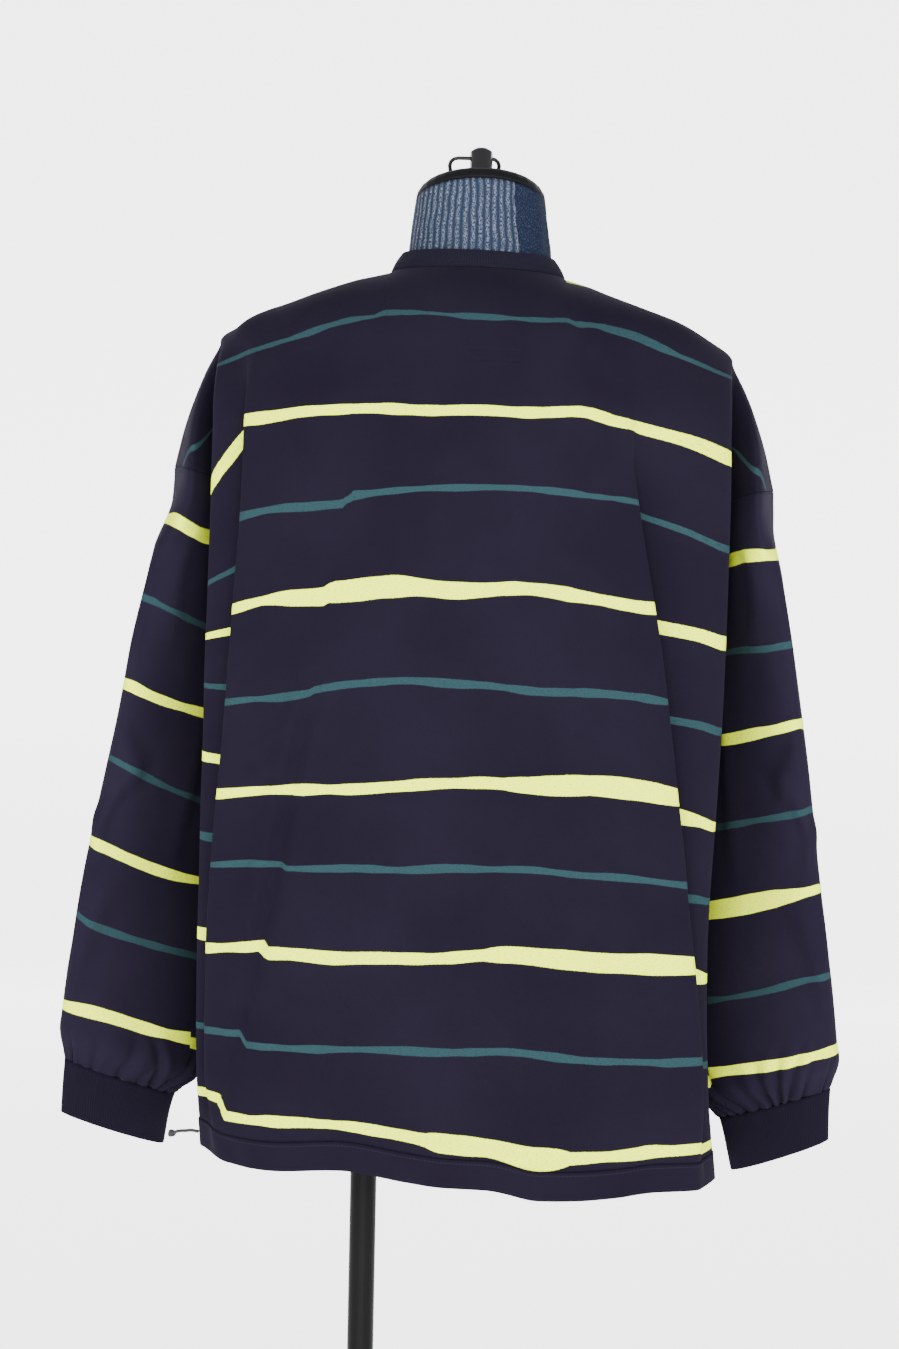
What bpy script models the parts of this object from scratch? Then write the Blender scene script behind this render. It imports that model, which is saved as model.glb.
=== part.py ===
"""Oversized long-sleeve t-shirt worn by a limbless dress form on a pole with a round floor plate.

The wearer faces +Y and the floor plate's underside is centred on the origin. The shirt is laid
out in millimetres from its own middle plane: `out` runs from that plane towards either sleeve,
`back` runs from the shoulder line towards the wearer's back, and `height` is above the floor.
"""

import math

import bmesh
import bpy
import numpy as np

MM = 0.001

# ---------------------------------------------------------------- driving sizes, in millimetres
SHIRT_X = 85.0          # the form stands off the pole to this side
SHOULDER_DROP = 0.022   # the whole shirt hangs this much lower per mm towards its right sleeve
WALL = 2.0              # cloth
SEAM = 0.3              # gap between pieces that are sewn together
SEAT = 0.3              # gap between pieces that rest on each other

SECTION_TOP = 1385.0    # the body's sections start here, below the shoulders
CHEST_TOP = 1335.0      # at the middle of the front they start here, below the neckline
ARMHOLE_LEVEL = 1265.0  # the dropped shoulders end here and the sleeves begin
HEM_LEVEL = 685.0
CASING = 24.0           # depth of the turned hem
CASING_WALL = 3.0

NECK_OUT = 75.0         # half width of the neckline at the shoulder seams
NECK_BACK = 71.0        # how far back the neckline reaches
NECK_FRONT = 88.0       # and how far forward
NECK_SEAT = 8.0         # the shoulder seams lie this far behind the middle
NECK_SIDE_HEIGHT = 1455.0
NECK_BACK_DIP = 0.0
NECK_FRONT_DIP = 77.0
RIB = 19.0              # depth of the neck rib
RIB_RISE = math.radians(60.0)    # how steeply it stands up round the neck
RIB_SEAM = math.radians(39.0)    # and how steeply the neckline's edges face each other
SHOULDER_OUT = 223.0    # the form's shoulder tips, where the cloth drops off

GATHERS = 8             # pleats round each cuff seam
GATHER_DEPTH = 3.2
GATHER_TOP = 830.0      # they fade out here
GATHER_FULL = 760.0

UPPER_ROWS = 5          # rows of facets from the shoulder seam down to SECTION_TOP
ARMHOLE_ROWS = 5        # from there to the armholes
LOWER_ROWS = 9          # and on to the hem


# ---------------------------------------------------------------- tables
def table(columns, *rows):
    """A table with named columns. Its rows run down the garment."""
    return {name: [row[i] for row in rows] for i, name in enumerate(columns.split())}


def read(tab, column, height, key="height"):
    """A column's smooth value at a height, with no overshoot between rows."""
    x = -np.asarray(tab[key], dtype=float)
    y = np.asarray(tab[column], dtype=float)
    at = np.clip(-np.asarray(height, dtype=float), x[0], x[-1])
    step = np.diff(x)
    slope = np.diff(y) / step
    tangent = np.zeros_like(y)
    tangent[0], tangent[-1] = slope[0], slope[-1]
    for i in range(1, len(y) - 1):
        if slope[i - 1] * slope[i] > 0:
            tangent[i] = 2 * slope[i - 1] * slope[i] / (slope[i - 1] + slope[i])
    i = np.clip(np.searchsorted(x, at, side="right") - 1, 0, len(x) - 2)
    t = (at - x[i]) / step[i]
    a = y[i] * (1 + 2 * t) * (1 - t) ** 2 + tangent[i] * step[i] * t * (1 - t) ** 2
    b = y[i + 1] * t * t * (3 - 2 * t) + tangent[i + 1] * step[i] * t * t * (t - 1)
    return a + b


# The shoulder seam, seen from behind.
SHOULDER = table("out height", (75, 1455), (97, 1449.5), (128, 1437), (155, 1424.5), (175, 1414), (192, 1406),
                 (215, 1397), (223, 1393))

# Lines that run down the cloth. Those of the dropped shoulder end at the armhole.
RIDGE = table("height out back", (1385, 224.5, 0), (1362, 236, 0), (1334, 246, 0), (1305, 254, 0),
              (1265, 262, 0))
CAP = table("height out back", (1385, 223.6, 11), (1362, 229, 38), (1334, 235, 62), (1305, 239, 76),
            (1265, 241, 85))
CAP_INNER = table("height out back", (1385, 222.8, 17), (1362, 223, 41), (1334, 224, 53), (1305, 224, 50),
                  (1265, 224, 45))
LIP_OUTER = table("height out back", (1385, 222.3, 20), (1362, 220.5, 41), (1334, 218.5, 46), (1305, 218, 37),
                  (1265, 218.5, 9))
DROPPED_LINES = {"ridge": RIDGE, "cap": CAP, "cap_inner": CAP_INNER, "lip_outer": LIP_OUTER}
LIFT_START = 215.0      # past this the dropped shoulders' rows rise outward
LIFT = table("height rise", (1385, 0), (1340, 0.10), (1300, 0.20), (1265, 0.28))

BACK_LEFT = {
    "pit": table("height out back", (1385, 221.8, 24), (1362, 218, 40), (1334, 215.5, 42), (1305, 214.5, 32),
                 (1265, 214.5, 1.6), (1235, 210, 0), (1100, 207, 0), (865, 206, 0),
                 (760, 209, 0), (685, 214, 0)),
    "lip": table("height out back", (1385, 221.3, 28), (1362, 216.5, 45), (1334, 213, 47), (1305, 211.5, 38),
                 (1265, 211, 10), (1235, 209.5, 16), (1100, 206, 16), (865, 206, 16),
                 (760, 210, 16), (685, 215, 16)),
    "side": table("height out back", (1385, 220.8, 34), (1362, 217.5, 58), (1334, 215, 70), (1305, 213.5, 68),
                  (1265, 213, 62), (1100, 210, 60), (865, 212, 58), (760, 216, 50), (685, 219, 42)),
    "curtain": table("height out back", (1385, 218, 47), (1362, 221, 74), (1334, 222, 92), (1305, 221, 100),
                     (1265, 221, 104), (1100, 224, 104), (865, 227, 98), (760, 226, 88), (685, 222, 68)),
    "valley": table("height out back", (1385, 201, 78), (1362, 197, 94), (1334, 193, 106), (1305, 188, 113),
                    (1265, 186, 117), (1100, 195, 121), (865, 212, 119), (760, 213, 110), (685, 212, 90)),
    "fold": table("height out back", (1385, 185, 93), (1362, 189, 107), (1334, 192, 121), (1305, 193.5, 129),
                  (1265, 194, 134), (1100, 203, 138), (865, 218, 134), (760, 217, 124), (685, 200, 110)),
    "blade": table("height out back", (1385, 145, 112), (1334, 148, 131), (1265, 152, 143), (1100, 158, 147),
                   (865, 168, 148), (685, 160, 135)),
    "neck": table("height out back", (1385, 88, 122), (1334, 88, 138), (1265, 88, 147), (1100, 90, 150),
                  (865, 100, 153), (685, 98, 148)),
}
BACK_RIGHT = {
    "pit": table("height out back", (1385, 221.8, 24), (1362, 218, 40), (1334, 215.5, 42), (1305, 214.5, 32),
                 (1265, 214.5, 1.6), (1235, 209, 0), (1100, 203, 0), (865, 192, 0),
                 (760, 198, 0), (685, 208, 0)),
    "lip": table("height out back", (1385, 221.3, 28), (1362, 216.5, 45), (1334, 213, 47), (1305, 211.5, 38),
                 (1265, 211, 10), (1235, 208.5, 16), (1100, 203, 16), (865, 192, 16),
                 (760, 199, 16), (685, 209, 16)),
    "side": table("height out back", (1385, 220.8, 34), (1362, 216.5, 58), (1334, 213, 70), (1305, 210.5, 68),
                  (1265, 209, 62), (1100, 204, 60), (865, 194, 58), (760, 201, 50), (685, 211, 42)),
    "curtain": table("height out back", (1385, 218, 47), (1362, 217, 74), (1334, 216, 92), (1305, 215, 100),
                     (1265, 215, 104), (1100, 212.5, 104), (865, 204, 99), (760, 208, 88), (685, 216, 68)),
    "blade": table("height out back", (1385, 182, 95), (1334, 182, 114), (1265, 181, 119), (1100, 193, 117),
                   (865, 195, 110), (760, 203, 101), (685, 212, 84)),
    "valley": table("height out back", (1385, 137, 113), (1334, 136, 128), (1305, 133, 129), (1265, 131, 127),
                    (1100, 154, 126), (865, 183, 119), (760, 195, 112), (685, 206, 97)),
    "fold": table("height out back", (1385, 115, 118), (1334, 123, 134), (1305, 127, 139), (1265, 134, 142),
                  (1100, 162, 144), (865, 192, 137), (760, 201, 126), (685, 196, 112)),
    "neck": table("height out back", (1385, 82, 123), (1334, 82, 138), (1265, 84, 147), (1100, 95, 150),
                  (865, 108, 152), (685, 104, 147)),
}
FRONT_SIDE = {
    "pit": BACK_RIGHT["pit"],
    "lip": table("height out back", (1385, 221.3, 28), (1362, 216.5, 45), (1334, 213, 47), (1305, 211.5, 38),
                 (1265, 211, 10), (1235, 208, 16), (1100, 202, 16), (865, 192, 16),
                 (760, 199, 16), (685, 209, 16)),
    "side": table("height out back", (1385, 220.5, 34), (1362, 216, 58), (1334, 211, 68), (1305, 208, 66),
                  (1265, 207, 60), (1100, 200, 60), (865, 192, 58), (760, 199, 50), (685, 210, 42)),
    "curtain": table("height out back", (1385, 217, 46), (1362, 215, 72), (1334, 211, 90), (1305, 208, 98),
                     (1265, 206, 102), (1100, 202, 104), (865, 195, 98), (760, 202, 88), (685, 212, 68)),
    "valley": table("height out back", (1385, 198, 76), (1362, 190, 92), (1334, 182, 102), (1305, 176, 108),
                    (1265, 172, 111), (1100, 168, 114), (865, 175, 110), (760, 186, 104), (685, 200, 88)),
    "fold": table("height out back", (1385, 184, 88), (1362, 184, 104), (1334, 184, 118), (1305, 182, 125),
                  (1265, 180, 129), (1100, 177, 131), (865, 184, 126), (760, 190, 117), (685, 186, 105)),
    "blade": table("height out back", (1385, 146, 100), (1334, 146, 126), (1265, 146, 138), (1100, 144, 138),
                   (865, 150, 138), (685, 150, 128)),
    "neck": table("height out back", (1385, 92, 98), (1334, 92, 126), (1265, 88, 138), (1100, 84, 138),
                  (865, 86, 139), (685, 88, 134)),
}
FRONT_LEFT = dict(FRONT_SIDE)
FRONT_LEFT.update({
    "pit": BACK_LEFT["pit"],
    "lip": BACK_LEFT["lip"],
    "side": table("height out back", (1385, 220.5, 34), (1362, 216, 58), (1334, 212, 68), (1305, 210, 66),
                  (1265, 209, 60), (1100, 204, 60), (865, 203, 58), (760, 208, 50), (685, 216, 42)),
    "curtain": table("height out back", (1385, 217, 46), (1362, 215, 72), (1334, 211, 90), (1305, 208, 98),
                     (1265, 206, 102), (1100, 203, 104), (865, 201, 98), (760, 206, 88), (685, 214, 68)),
})
FRONT_RIGHT = dict(FRONT_SIDE)
FRONT_RIGHT.update({
    "blade": table("height out back", (1385, 182, 90), (1334, 182, 112), (1265, 176, 120), (1100, 178, 119),
                   (865, 180, 112), (760, 188, 104), (685, 198, 90)),
    "valley": table("height out back", (1385, 137, 103), (1334, 137, 122), (1265, 133, 126), (1100, 143, 121),
                    (865, 160, 117), (760, 170, 113), (685, 177, 106)),
    "fold": table("height out back", (1385, 115, 105), (1334, 123, 129), (1265, 129, 139), (1100, 147, 137),
                  (865, 167, 133), (760, 173, 126), (685, 164, 121)),
})
BACK_MIDDLE = table("height out back", (1385, 0, 127), (1334, 0, 140), (1265, 0, 147), (1100, 0, 149),
                    (865, 0, 152), (685, 0, 150))
FRONT_MIDDLE = table("height out back", (1335, 0, 128), (1305, 0, 137), (1265, 0, 143), (1100, 0, 139),
                     (865, 0, 138), (685, 0, 140))

PANEL_LINES = {(False, -1): BACK_LEFT, (False, 1): BACK_RIGHT, (True, -1): FRONT_LEFT, (True, 1): FRONT_RIGHT}

# The hem isn't level: how much higher than its nominal height it hangs, from right to left.
HEM_WAVE = table("across back front", (214, 1, 1), (206, -1.5, -1.5), (198, -3.5, -3.5), (165, -3.5, -2),
                 (131, -7.5, 1), (98, -10.5, 3), (65, -11.5, 2), (20, -4.5, -3), (-15, -4, -6), (-50, 0, -5),
                 (-100, 6.5, -1), (-165, 2, 4), (-198, 4.5, 4.5), (-208, 7.5, 7.5), (-219, 11, 11))
HEM_WAVE_START = 880.0  # it grows from here down to the casing

# Where each line leaves the neckline and shoulder seam: 0 is the middle of the neck, 1 the
# shoulder seam's start and 2 the shoulder tip; and how many facets lie between it and the next.
DROPPED = (("ridge", 2.00, 4), ("cap", 1.98, 3), ("cap_inner", 1.96, 2), ("lip_outer", 1.945, 2))
LEFT_LINES = DROPPED + (("pit", 1.93, 1), ("lip", 1.91, 1), ("side", 1.87, 2), ("curtain", 1.78, 2),
                        ("valley", 1.62, 1), ("fold", 1.50, 2), ("blade", 1.28, 2), ("neck", 1.00, 6))
RIGHT_LINES = DROPPED + (("pit", 1.93, 1), ("lip", 1.91, 1), ("side", 1.87, 2), ("curtain", 1.78, 2),
                         ("blade", 1.52, 2), ("valley", 1.30, 1), ("fold", 1.16, 2), ("neck", 1.00, 6))
DROPPED_FACETS = sum(line[2] for line in DROPPED)
NECK_FACETS = LEFT_LINES[-1][2]
SPLIT = UPPER_ROWS + ARMHOLE_ROWS

# The sleeves' own sections below the armhole: the middle of each, its half length and half
# thickness, how far its long side is turned from front-to-back, in degrees, and its tilt.
SLEEVE_LEFT = table("height out forward long thin turn tilt",
                    (1265, 239, 0, 86, 24, 0, 0.28), (1200, 244, 2, 86, 26, 10, 0.32),
                    (1120, 252.5, 6, 82, 24, 21, 0.36), (1030, 263.5, 10, 77, 24, 28.5, 0.38),
                    (940, 276, 14, 73, 24, 37, 0.38), (860, 286, 16, 69, 24, 48, 0.37),
                    (800, 291, 17, 66, 28, 57, 0.35), (768, 293, 17, 62, 30, 62, 0.34),
                    (742, 302, 17, 50, 19, 64, 0.34), (696, 307.5, 17, 46.5, 17.5, 64, 0.34))
SLEEVE_RIGHT = table("height out forward long thin turn tilt",
                     (1265, 239, 0, 86, 24, 0, 0.28), (1200, 240, 2, 86, 23, 8, 0.30),
                     (1120, 245.5, 6, 82, 23, 17, 0.30), (1030, 250.5, 10, 77, 23, 28, 0.30),
                     (940, 256, 14, 73, 24, 37, 0.30), (860, 262, 16, 69, 24, 48, 0.31),
                     (800, 266.5, 17, 66, 28, 57, 0.32), (768, 269, 17, 62, 30, 62, 0.34),
                     (742, 275, 17, 50, 19, 64, 0.37), (696, 280.5, 17, 43.5, 17, 64, 0.43))
UNDERARM_CLEAR = (3.0, 2.0, 0.8)   # the seam's last points stand off the body by this
SLEEVE_BLEND = 70.0          # the armhole's shape turns into the sleeve's own over this depth
SLEEVE_ROWS = (1253, 1230, 1195, 1140, 1080, 1010, 940, 875, 825, 795, 772, 756)
CUFF_TOP = 742.0
CUFF_ROWS = (742, 737, 715, 696)

# The dress form: half width, depth behind and before its middle.
FORM = table("height wide back front",
             (1385, 219.5, 122, 88), (1362, 209, 126, 103), (1334, 195, 130, 117), (1300, 183, 131, 124),
             (1250, 175, 128, 126), (1180, 167, 119, 122), (1100, 156, 106, 110), (1030, 151, 100, 103),
             (950, 157, 104, 104), (880, 167, 111, 107), (815, 171, 114, 108))
FORM_ROUNDNESS = 2.8         # exponent of its sections at the top
FORM_ROUNDNESS_LOW = 2.3
FORM_CLEAR = 4.0             # from its seat under the shoulder seams it falls away from the cloth by this
FORM_UPPER_STEPS = (0.2, 0.45, 0.72)
FORM_CHEST = 1250.0
FORM_ROWS = (1250, 1165, 1085, 1010, 930, 870, 815)
FORM_BOTTOM = 800.0
FORM_EDGE = 12.0             # rounding of its lower edge

NECK_X = 86.0
NECK = table("height wide deep", (1540, 55, 51.5), (1505, 59, 55), (1480, 62.3, 58.6), (1465, 63.2, 59.4),
             (1435, 64, 60))
NECK_COVER = 1.6             # patchwork cloth round the neck
NECK_CLEAR = 0.7             # between it and the neck
NECK_COVER_FOOT = 1466.0
NECK_COVER_FRONT_DIP = 24.0  # its lower edge lies this much lower in front
CAP_TILT = math.radians(16.0)
CAP_MIDDLE = 1520.0          # height of the cap's underside on the neck's axis
CAP_RADIUS = 57.0
CAP_RIM = 12.0
CAP_ROUND = 11.0
CAP_THICK = 20.0
KNOB_RADIUS = 10.0
KNOB_TOP = 50.0              # above the cap's underside, along its axis
KNOB_EDGE = 2.0
KNOB_HOLE = 43.0
HOLE_RADIUS = 2.15
RING_WIRE = 1.8              # radius of its wire
RING_HALF_WIDTH = 21.7
RING_REACH = 34.0
RING_CORNER = 7.0
RING_SHIFT = -6.0            # it has slid to the left in the knob's cross hole
RING_REST = math.radians(-41.2)  # it lies on the cap in front of the knob

POLE_RADIUS = 11.5
SOCKET_RADIUS = 19.0
SOCKET_HEIGHT = 46.0
FLANGE_RADIUS = 42.0
FLANGE = 5.0
FLANGE_SWEEP = 8.0           # the flange runs down to the socket's tube over this
SOCKET_FLOOR = 5.0
PLATE_RADIUS = 200.0
PLATE = 12.0
PLATE_EDGE = 2.0
FOOT_RADIUS = 26.0
FOOT_NECK = 18.0
FOOT_RIM = 6.0
FOOT_HEIGHT = 34.0
FOOT_FLOOR = 4.0

CORD_RADIUS = 1.4
CORD_HEIGHT = 697.0          # it leaves the casing here
CORD_BACK = 72.0
CORD_WAY = ((-6, 3, 0.5), (-12, 10, -1.0), (-18, 18, -2.5), (-23, 26, -5))  # its droop, from there
CORD_CLEAR = 0.8             # between its cut end and the casing's slanted wall
KNOT_RADIUS = 3.6


# ---------------------------------------------------------------- small geometry helpers
def spline(points, counts, closed=False):
    """Points along a smooth curve through `points`, with counts[i] steps in stretch i."""
    p = np.asarray(points, dtype=float)
    n = len(p)
    if closed:
        p = np.vstack([p[-1], p, p[0], p[1]])
        stretches = n
    else:
        p = np.vstack([2 * p[0] - p[1], p, 2 * p[-1] - p[-2]])
        stretches = n - 1
    knots = np.sqrt(np.maximum(np.linalg.norm(np.diff(p, axis=0), axis=1), 1e-6))
    rows = []
    for i in range(stretches):
        p0, p1, p2, p3 = p[i:i + 4]
        d0, d1, d2 = knots[i:i + 3]
        m1 = ((p1 - p0) / d0 - (p2 - p0) / (d0 + d1) + (p2 - p1) / d1) * d1
        m2 = ((p2 - p1) / d1 - (p3 - p1) / (d1 + d2) + (p3 - p2) / d2) * d1
        t = np.arange(counts[i])[:, None] / counts[i]
        rows.append((2 * t ** 3 - 3 * t ** 2 + 1) * p1 + (t ** 3 - 2 * t ** 2 + t) * m1
                    + (3 * t ** 2 - 2 * t ** 3) * p2 + (t ** 3 - t ** 2) * m2)
    if not closed:
        rows.append(p[-2:-1])
    return np.vstack(rows)


def world(out, back, height, side):
    """World place, in millimetres, of a point of the shirt. `side` is -1 left and +1 right."""
    offset = side * np.asarray(out, dtype=float)
    return np.stack([SHIRT_X + offset, -np.asarray(back, dtype=float) + 0 * offset,
                     np.asarray(height, dtype=float) - SHOULDER_DROP * offset], axis=-1)


def unit(v):
    """Vectors of length one."""
    return v / np.maximum(np.linalg.norm(v, axis=-1, keepdims=True), 1e-9)


def new_object(name, verts, faces, material):
    """A mesh object in metres from points in millimetres, welded, with its faces outward."""
    mesh = bpy.data.meshes.new(name)
    bm = bmesh.new()
    made = [bm.verts.new((float(v[0]) * MM, float(v[1]) * MM, float(v[2]) * MM)) for v in verts]
    for face in faces:
        bm.faces.new([made[i] for i in face])
    bmesh.ops.remove_doubles(bm, verts=bm.verts, dist=1e-6)
    bmesh.ops.dissolve_degenerate(bm, edges=bm.edges, dist=1e-7)
    bmesh.ops.recalc_face_normals(bm, faces=bm.faces)
    bm.to_mesh(mesh)
    bm.free()
    mesh.materials.append(material)
    mesh.shade_smooth()
    mesh.set_sharp_from_angle(angle=math.radians(50))
    obj = bpy.data.objects.new(name, mesh)
    bpy.context.collection.objects.link(obj)
    return obj


def wall(name, grid, normals, material, present=None, closed=False, thick=WALL):
    """A cloth wall round a grid of middle points [row][column], `thick` through."""
    rows, cols = grid.shape[:2]
    if present is None:
        present = np.ones((rows - 1, cols if closed else cols - 1), dtype=bool)
    outer = (grid + normals * thick / 2).reshape(-1, 3)
    inner = (grid - normals * thick / 2).reshape(-1, 3)
    total = rows * cols
    faces, used = [], set()

    def at(r, c):
        return r * cols + c % cols

    def cell(r, c):
        if r < 0 or r >= present.shape[0]:
            return False
        if closed:
            return present[r, c % cols]
        return 0 <= c < present.shape[1] and present[r, c]

    for r in range(present.shape[0]):
        for c in range(present.shape[1]):
            if not present[r, c]:
                continue
            a, b, d, e = at(r, c), at(r, c + 1), at(r + 1, c + 1), at(r + 1, c)
            faces.append((a, b, d, e))
            faces.append((a + total, e + total, d + total, b + total))
            borders = ((a, b, cell(r - 1, c)), (b, d, cell(r, c + 1)),
                       (d, e, cell(r + 1, c)), (e, a, cell(r, c - 1)))
            for i, j, neighbour in borders:
                if not neighbour:
                    faces.append((j, i, i + total, j + total))
    for face in faces:
        used.update(face)
    order = {index: k for k, index in enumerate(sorted(used))}
    both = np.vstack([outer, inner])
    return new_object(name, [both[i] for i in order], [[order[i] for i in face] for face in faces], material)


def surface_normals(grid, outward, closed=False):
    """Unit normals of a grid of points, on the side to which the vectors `outward` mostly point."""
    down = np.gradient(grid, axis=0)
    if closed:
        across = np.roll(grid, -1, axis=1) - np.roll(grid, 1, axis=1)
    else:
        across = np.gradient(grid, axis=1)
    normal = unit(np.cross(across, down))
    return normal if np.sum(normal * outward) > 0 else -normal


def turned(name, profile, segments, material, place=(0, 0, 0), tilt=0.0):
    """A turned solid: `profile` is a list of (radius, height), from axis to axis or a closed outline."""
    ring_closed = profile[0][0] > 0
    turn = np.linspace(0, 2 * math.pi, segments, endpoint=False)
    lean = np.array([[1, 0, 0], [0, math.cos(tilt), -math.sin(tilt)], [0, math.sin(tilt), math.cos(tilt)]])
    verts = []
    for radius, height in profile:
        for angle in turn:
            local = np.array([radius * math.cos(angle), radius * math.sin(angle), height])
            verts.append(lean @ local + np.asarray(place, dtype=float))
    faces = []
    count = len(profile)
    for r in range(count if ring_closed else count - 1):
        for c in range(segments):
            a, b = r * segments + c, r * segments + (c + 1) % segments
            d, e = (r + 1) % count * segments + (c + 1) % segments, (r + 1) % count * segments + c
            faces.append((a, b, d, e))
    return new_object(name, verts, faces, material)


# ---------------------------------------------------------------- body of the shirt
def top_edge(place, front, side):
    """A point of the neckline (place 0 to 1) or of the shoulder seam (place 1 to 2)."""
    if place >= 1:
        out = (place - 1) * (SHOULDER_OUT - NECK_OUT) + NECK_OUT
        back = NECK_SEAT * (2 - place) ** 2
        return world(out, back, np.interp(out, SHOULDER["out"], SHOULDER["height"]), side)
    turn = place * math.pi / 2
    forward = math.cos(turn)
    if front:
        back = NECK_SEAT - (NECK_SEAT + NECK_FRONT) * forward
        height = NECK_SIDE_HEIGHT - NECK_FRONT_DIP * forward ** 1.3
    else:
        back = NECK_SEAT + (NECK_BACK - NECK_SEAT) * forward
        height = NECK_SIDE_HEIGHT - NECK_BACK_DIP * forward
    return world(NECK_OUT * math.sin(turn), back, height, side)


def line_point(name, front, side, height):
    """The place of one of the cloth's lines at a nominal height."""
    if name == "middle":
        tab = FRONT_MIDDLE if front else BACK_MIDDLE
    elif name in DROPPED_LINES:
        tab = DROPPED_LINES[name]
    else:
        tab = PANEL_LINES[(front, side)][name]
    out = float(read(tab, "out", height))
    back = float(read(tab, "back", height))
    if name in ("ridge", "pit"):
        back = max(back, SEAM / 2)
    lift = 0.0
    if height >= ARMHOLE_LEVEL:
        lift = max(out - LIFT_START, 0.0) * float(read(LIFT, "rise", height))
    return world(out, -back if front else back, height + lift, side)


def panel_lines():
    """The lines of a panel from its left ridge to its right one, as (name, place, side), and its facets."""
    lines = [(name, place, -1) for name, place, _ in LEFT_LINES] + [("middle", 0.0, 1)]
    lines += [(name, place, 1) for name, place, _ in RIGHT_LINES[::-1]]
    counts = [count for _, _, count in LEFT_LINES] + [count for _, _, count in RIGHT_LINES[::-1]]
    return lines, counts


def panel_places():
    """Each column's place on the neckline or shoulder seam, and its side."""
    lines, counts = panel_lines()
    places = []
    for (_, start, _), (_, end, _), count in zip(lines, lines[1:], counts):
        for k in range(count):
            places.append((start + (end - start) * k / count, -1 if start > end else 1))
    return places + [(lines[-1][1], 1)]


def panel_section(front, heights):
    """Middle points of a panel's cloth across one row, from the height of each of its lines."""
    lines, counts = panel_lines()
    points = [line_point(name, front, side, h) for (name, _, side), h in zip(lines, heights)]
    return spline(points, counts)


def level_section(front, height):
    """A panel's section at one nominal height, with the hem's wave."""
    points = panel_section(front, [height] * len(panel_lines()[0]))
    share = np.clip((HEM_WAVE_START - height) / (HEM_WAVE_START - HEM_LEVEL - CASING), 0, 1)
    rise = read(HEM_WAVE, "front" if front else "back", points[:, 0] - SHIRT_X, "across")
    points[:, 2] += share ** 2 * rise
    return points


def section_starts(front):
    """The height at which the sections start on each line: lower at the middle of the front."""
    dip = SECTION_TOP - CHEST_TOP if front else 0.0
    return [SECTION_TOP - dip * np.clip((1.75 - place) / 0.75, 0, 1) for _, place, _ in panel_lines()[0]]


def loft(upper, lower, heading, rows):
    """Rows that leave the top edge nearly level and turn down into the sections below."""
    chord = lower - upper
    length = np.linalg.norm(chord, axis=1, keepdims=True)
    leaving = unit(chord * np.array([1, 1, 0.35]))
    p1 = upper + leaving * length * 0.40
    p2 = lower - heading * length * 0.36
    made = []
    for w in np.linspace(0, 1, rows + 1)[:-1]:
        made.append(upper * (1 - w) ** 3 + 3 * p1 * w * (1 - w) ** 2
                    + 3 * p2 * w * w * (1 - w) + lower * w ** 3)
    return made


def panel_grid(front):
    """Middle points of the front or the back, [row][column], from the seams at its top to the hem casing."""
    starts = section_starts(front)
    rows = []
    for q in np.linspace(0, 1, ARMHOLE_ROWS + 1):
        rows.append(panel_section(front, [start + (ARMHOLE_LEVEL - start) * q for start in starts]))
    for height in np.linspace(ARMHOLE_LEVEL, HEM_LEVEL + CASING + SEAM, LOWER_ROWS + 1)[1:]:
        rows.append(level_section(front, height))
    heading = unit(panel_section(front, [start - 2.0 for start in starts]) - rows[0])
    upper = []
    for place, side in panel_places():
        point = top_edge(place, front, side)
        if place >= 1:
            point[1] += SEAM / 2 if front else -SEAM / 2
        if place <= 1:
            point -= neck_seam(place, front, side)[1] * SEAM / 2
        upper.append(point)
    return np.array(loft(np.array(upper), rows[0], heading, UPPER_ROWS) + rows)


def neck_seam(place, front, side):
    """At the neckline: outward from the neck, across the seam towards the rib, and the walls' normal."""
    point = top_edge(min(place, 1.0), front, side)
    radial = unit((point - world(0, NECK_SEAT, 0, side)) * np.array([1, 1, 0]))
    up = np.array([0, 0, 1.0])
    return (radial, up * math.sin(RIB_SEAM) - radial * math.cos(RIB_SEAM),
            radial * math.sin(RIB_SEAM) + up * math.cos(RIB_SEAM))


def panel_normals(grid, front):
    """Outward normals of a panel, turned at its seams so that its neighbours meet it edge on."""
    facing = np.zeros_like(grid)
    facing[..., 1] = 1 if front else -1
    normals = surface_normals(grid, facing)
    last = grid.shape[1] - 1
    for column, (place, side) in enumerate(panel_places()):
        if place > 1:
            normals[0, column] = unit(normals[0, column] * np.array([1, 0, 1]))
        else:
            normals[0, column] = neck_seam(place, front, side)[2]
        if column < DROPPED_FACETS or column > last - DROPPED_FACETS:
            normals[SPLIT, column] = unit(normals[SPLIT, column] * np.array([1, 1, 0]))
    for column, side in ((0, -1), (last, 1)):
        level = np.abs(normals[:SPLIT + 1, column]) * np.array([side, 0, 1])
        normals[:SPLIT + 1, column] = unit(level)
        normals[SPLIT, column] = (side, 0, 0)
    for column, side in ((DROPPED_FACETS, -1), (last - DROPPED_FACETS, 1)):
        normals[SPLIT + 1:, column] = (side, 0, 0)
    normals[-1] = unit(normals[-1] * np.array([1, 1, 0]))
    return normals


def make_panel(front, cloth):
    """The front or the back: one wall from the neckline to the hem casing, with its dropped shoulders."""
    grid = panel_grid(front)
    present = np.ones((grid.shape[0] - 1, grid.shape[1] - 1), dtype=bool)
    present[SPLIT:, :DROPPED_FACETS] = False
    present[SPLIT:, -DROPPED_FACETS:] = False
    wall("front" if front else "back", grid, panel_normals(grid, front), cloth, present)


def neck_ring():
    """Places round the neckline, from the left shoulder seam by the back to the right and by the front."""
    steps = [k / NECK_FACETS for k in range(NECK_FACETS)]
    return ([(1 - t, False, -1) for t in steps] + [(t, False, 1) for t in steps]
            + [(1 - t, True, 1) for t in steps] + [(t, True, -1) for t in steps])


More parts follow.
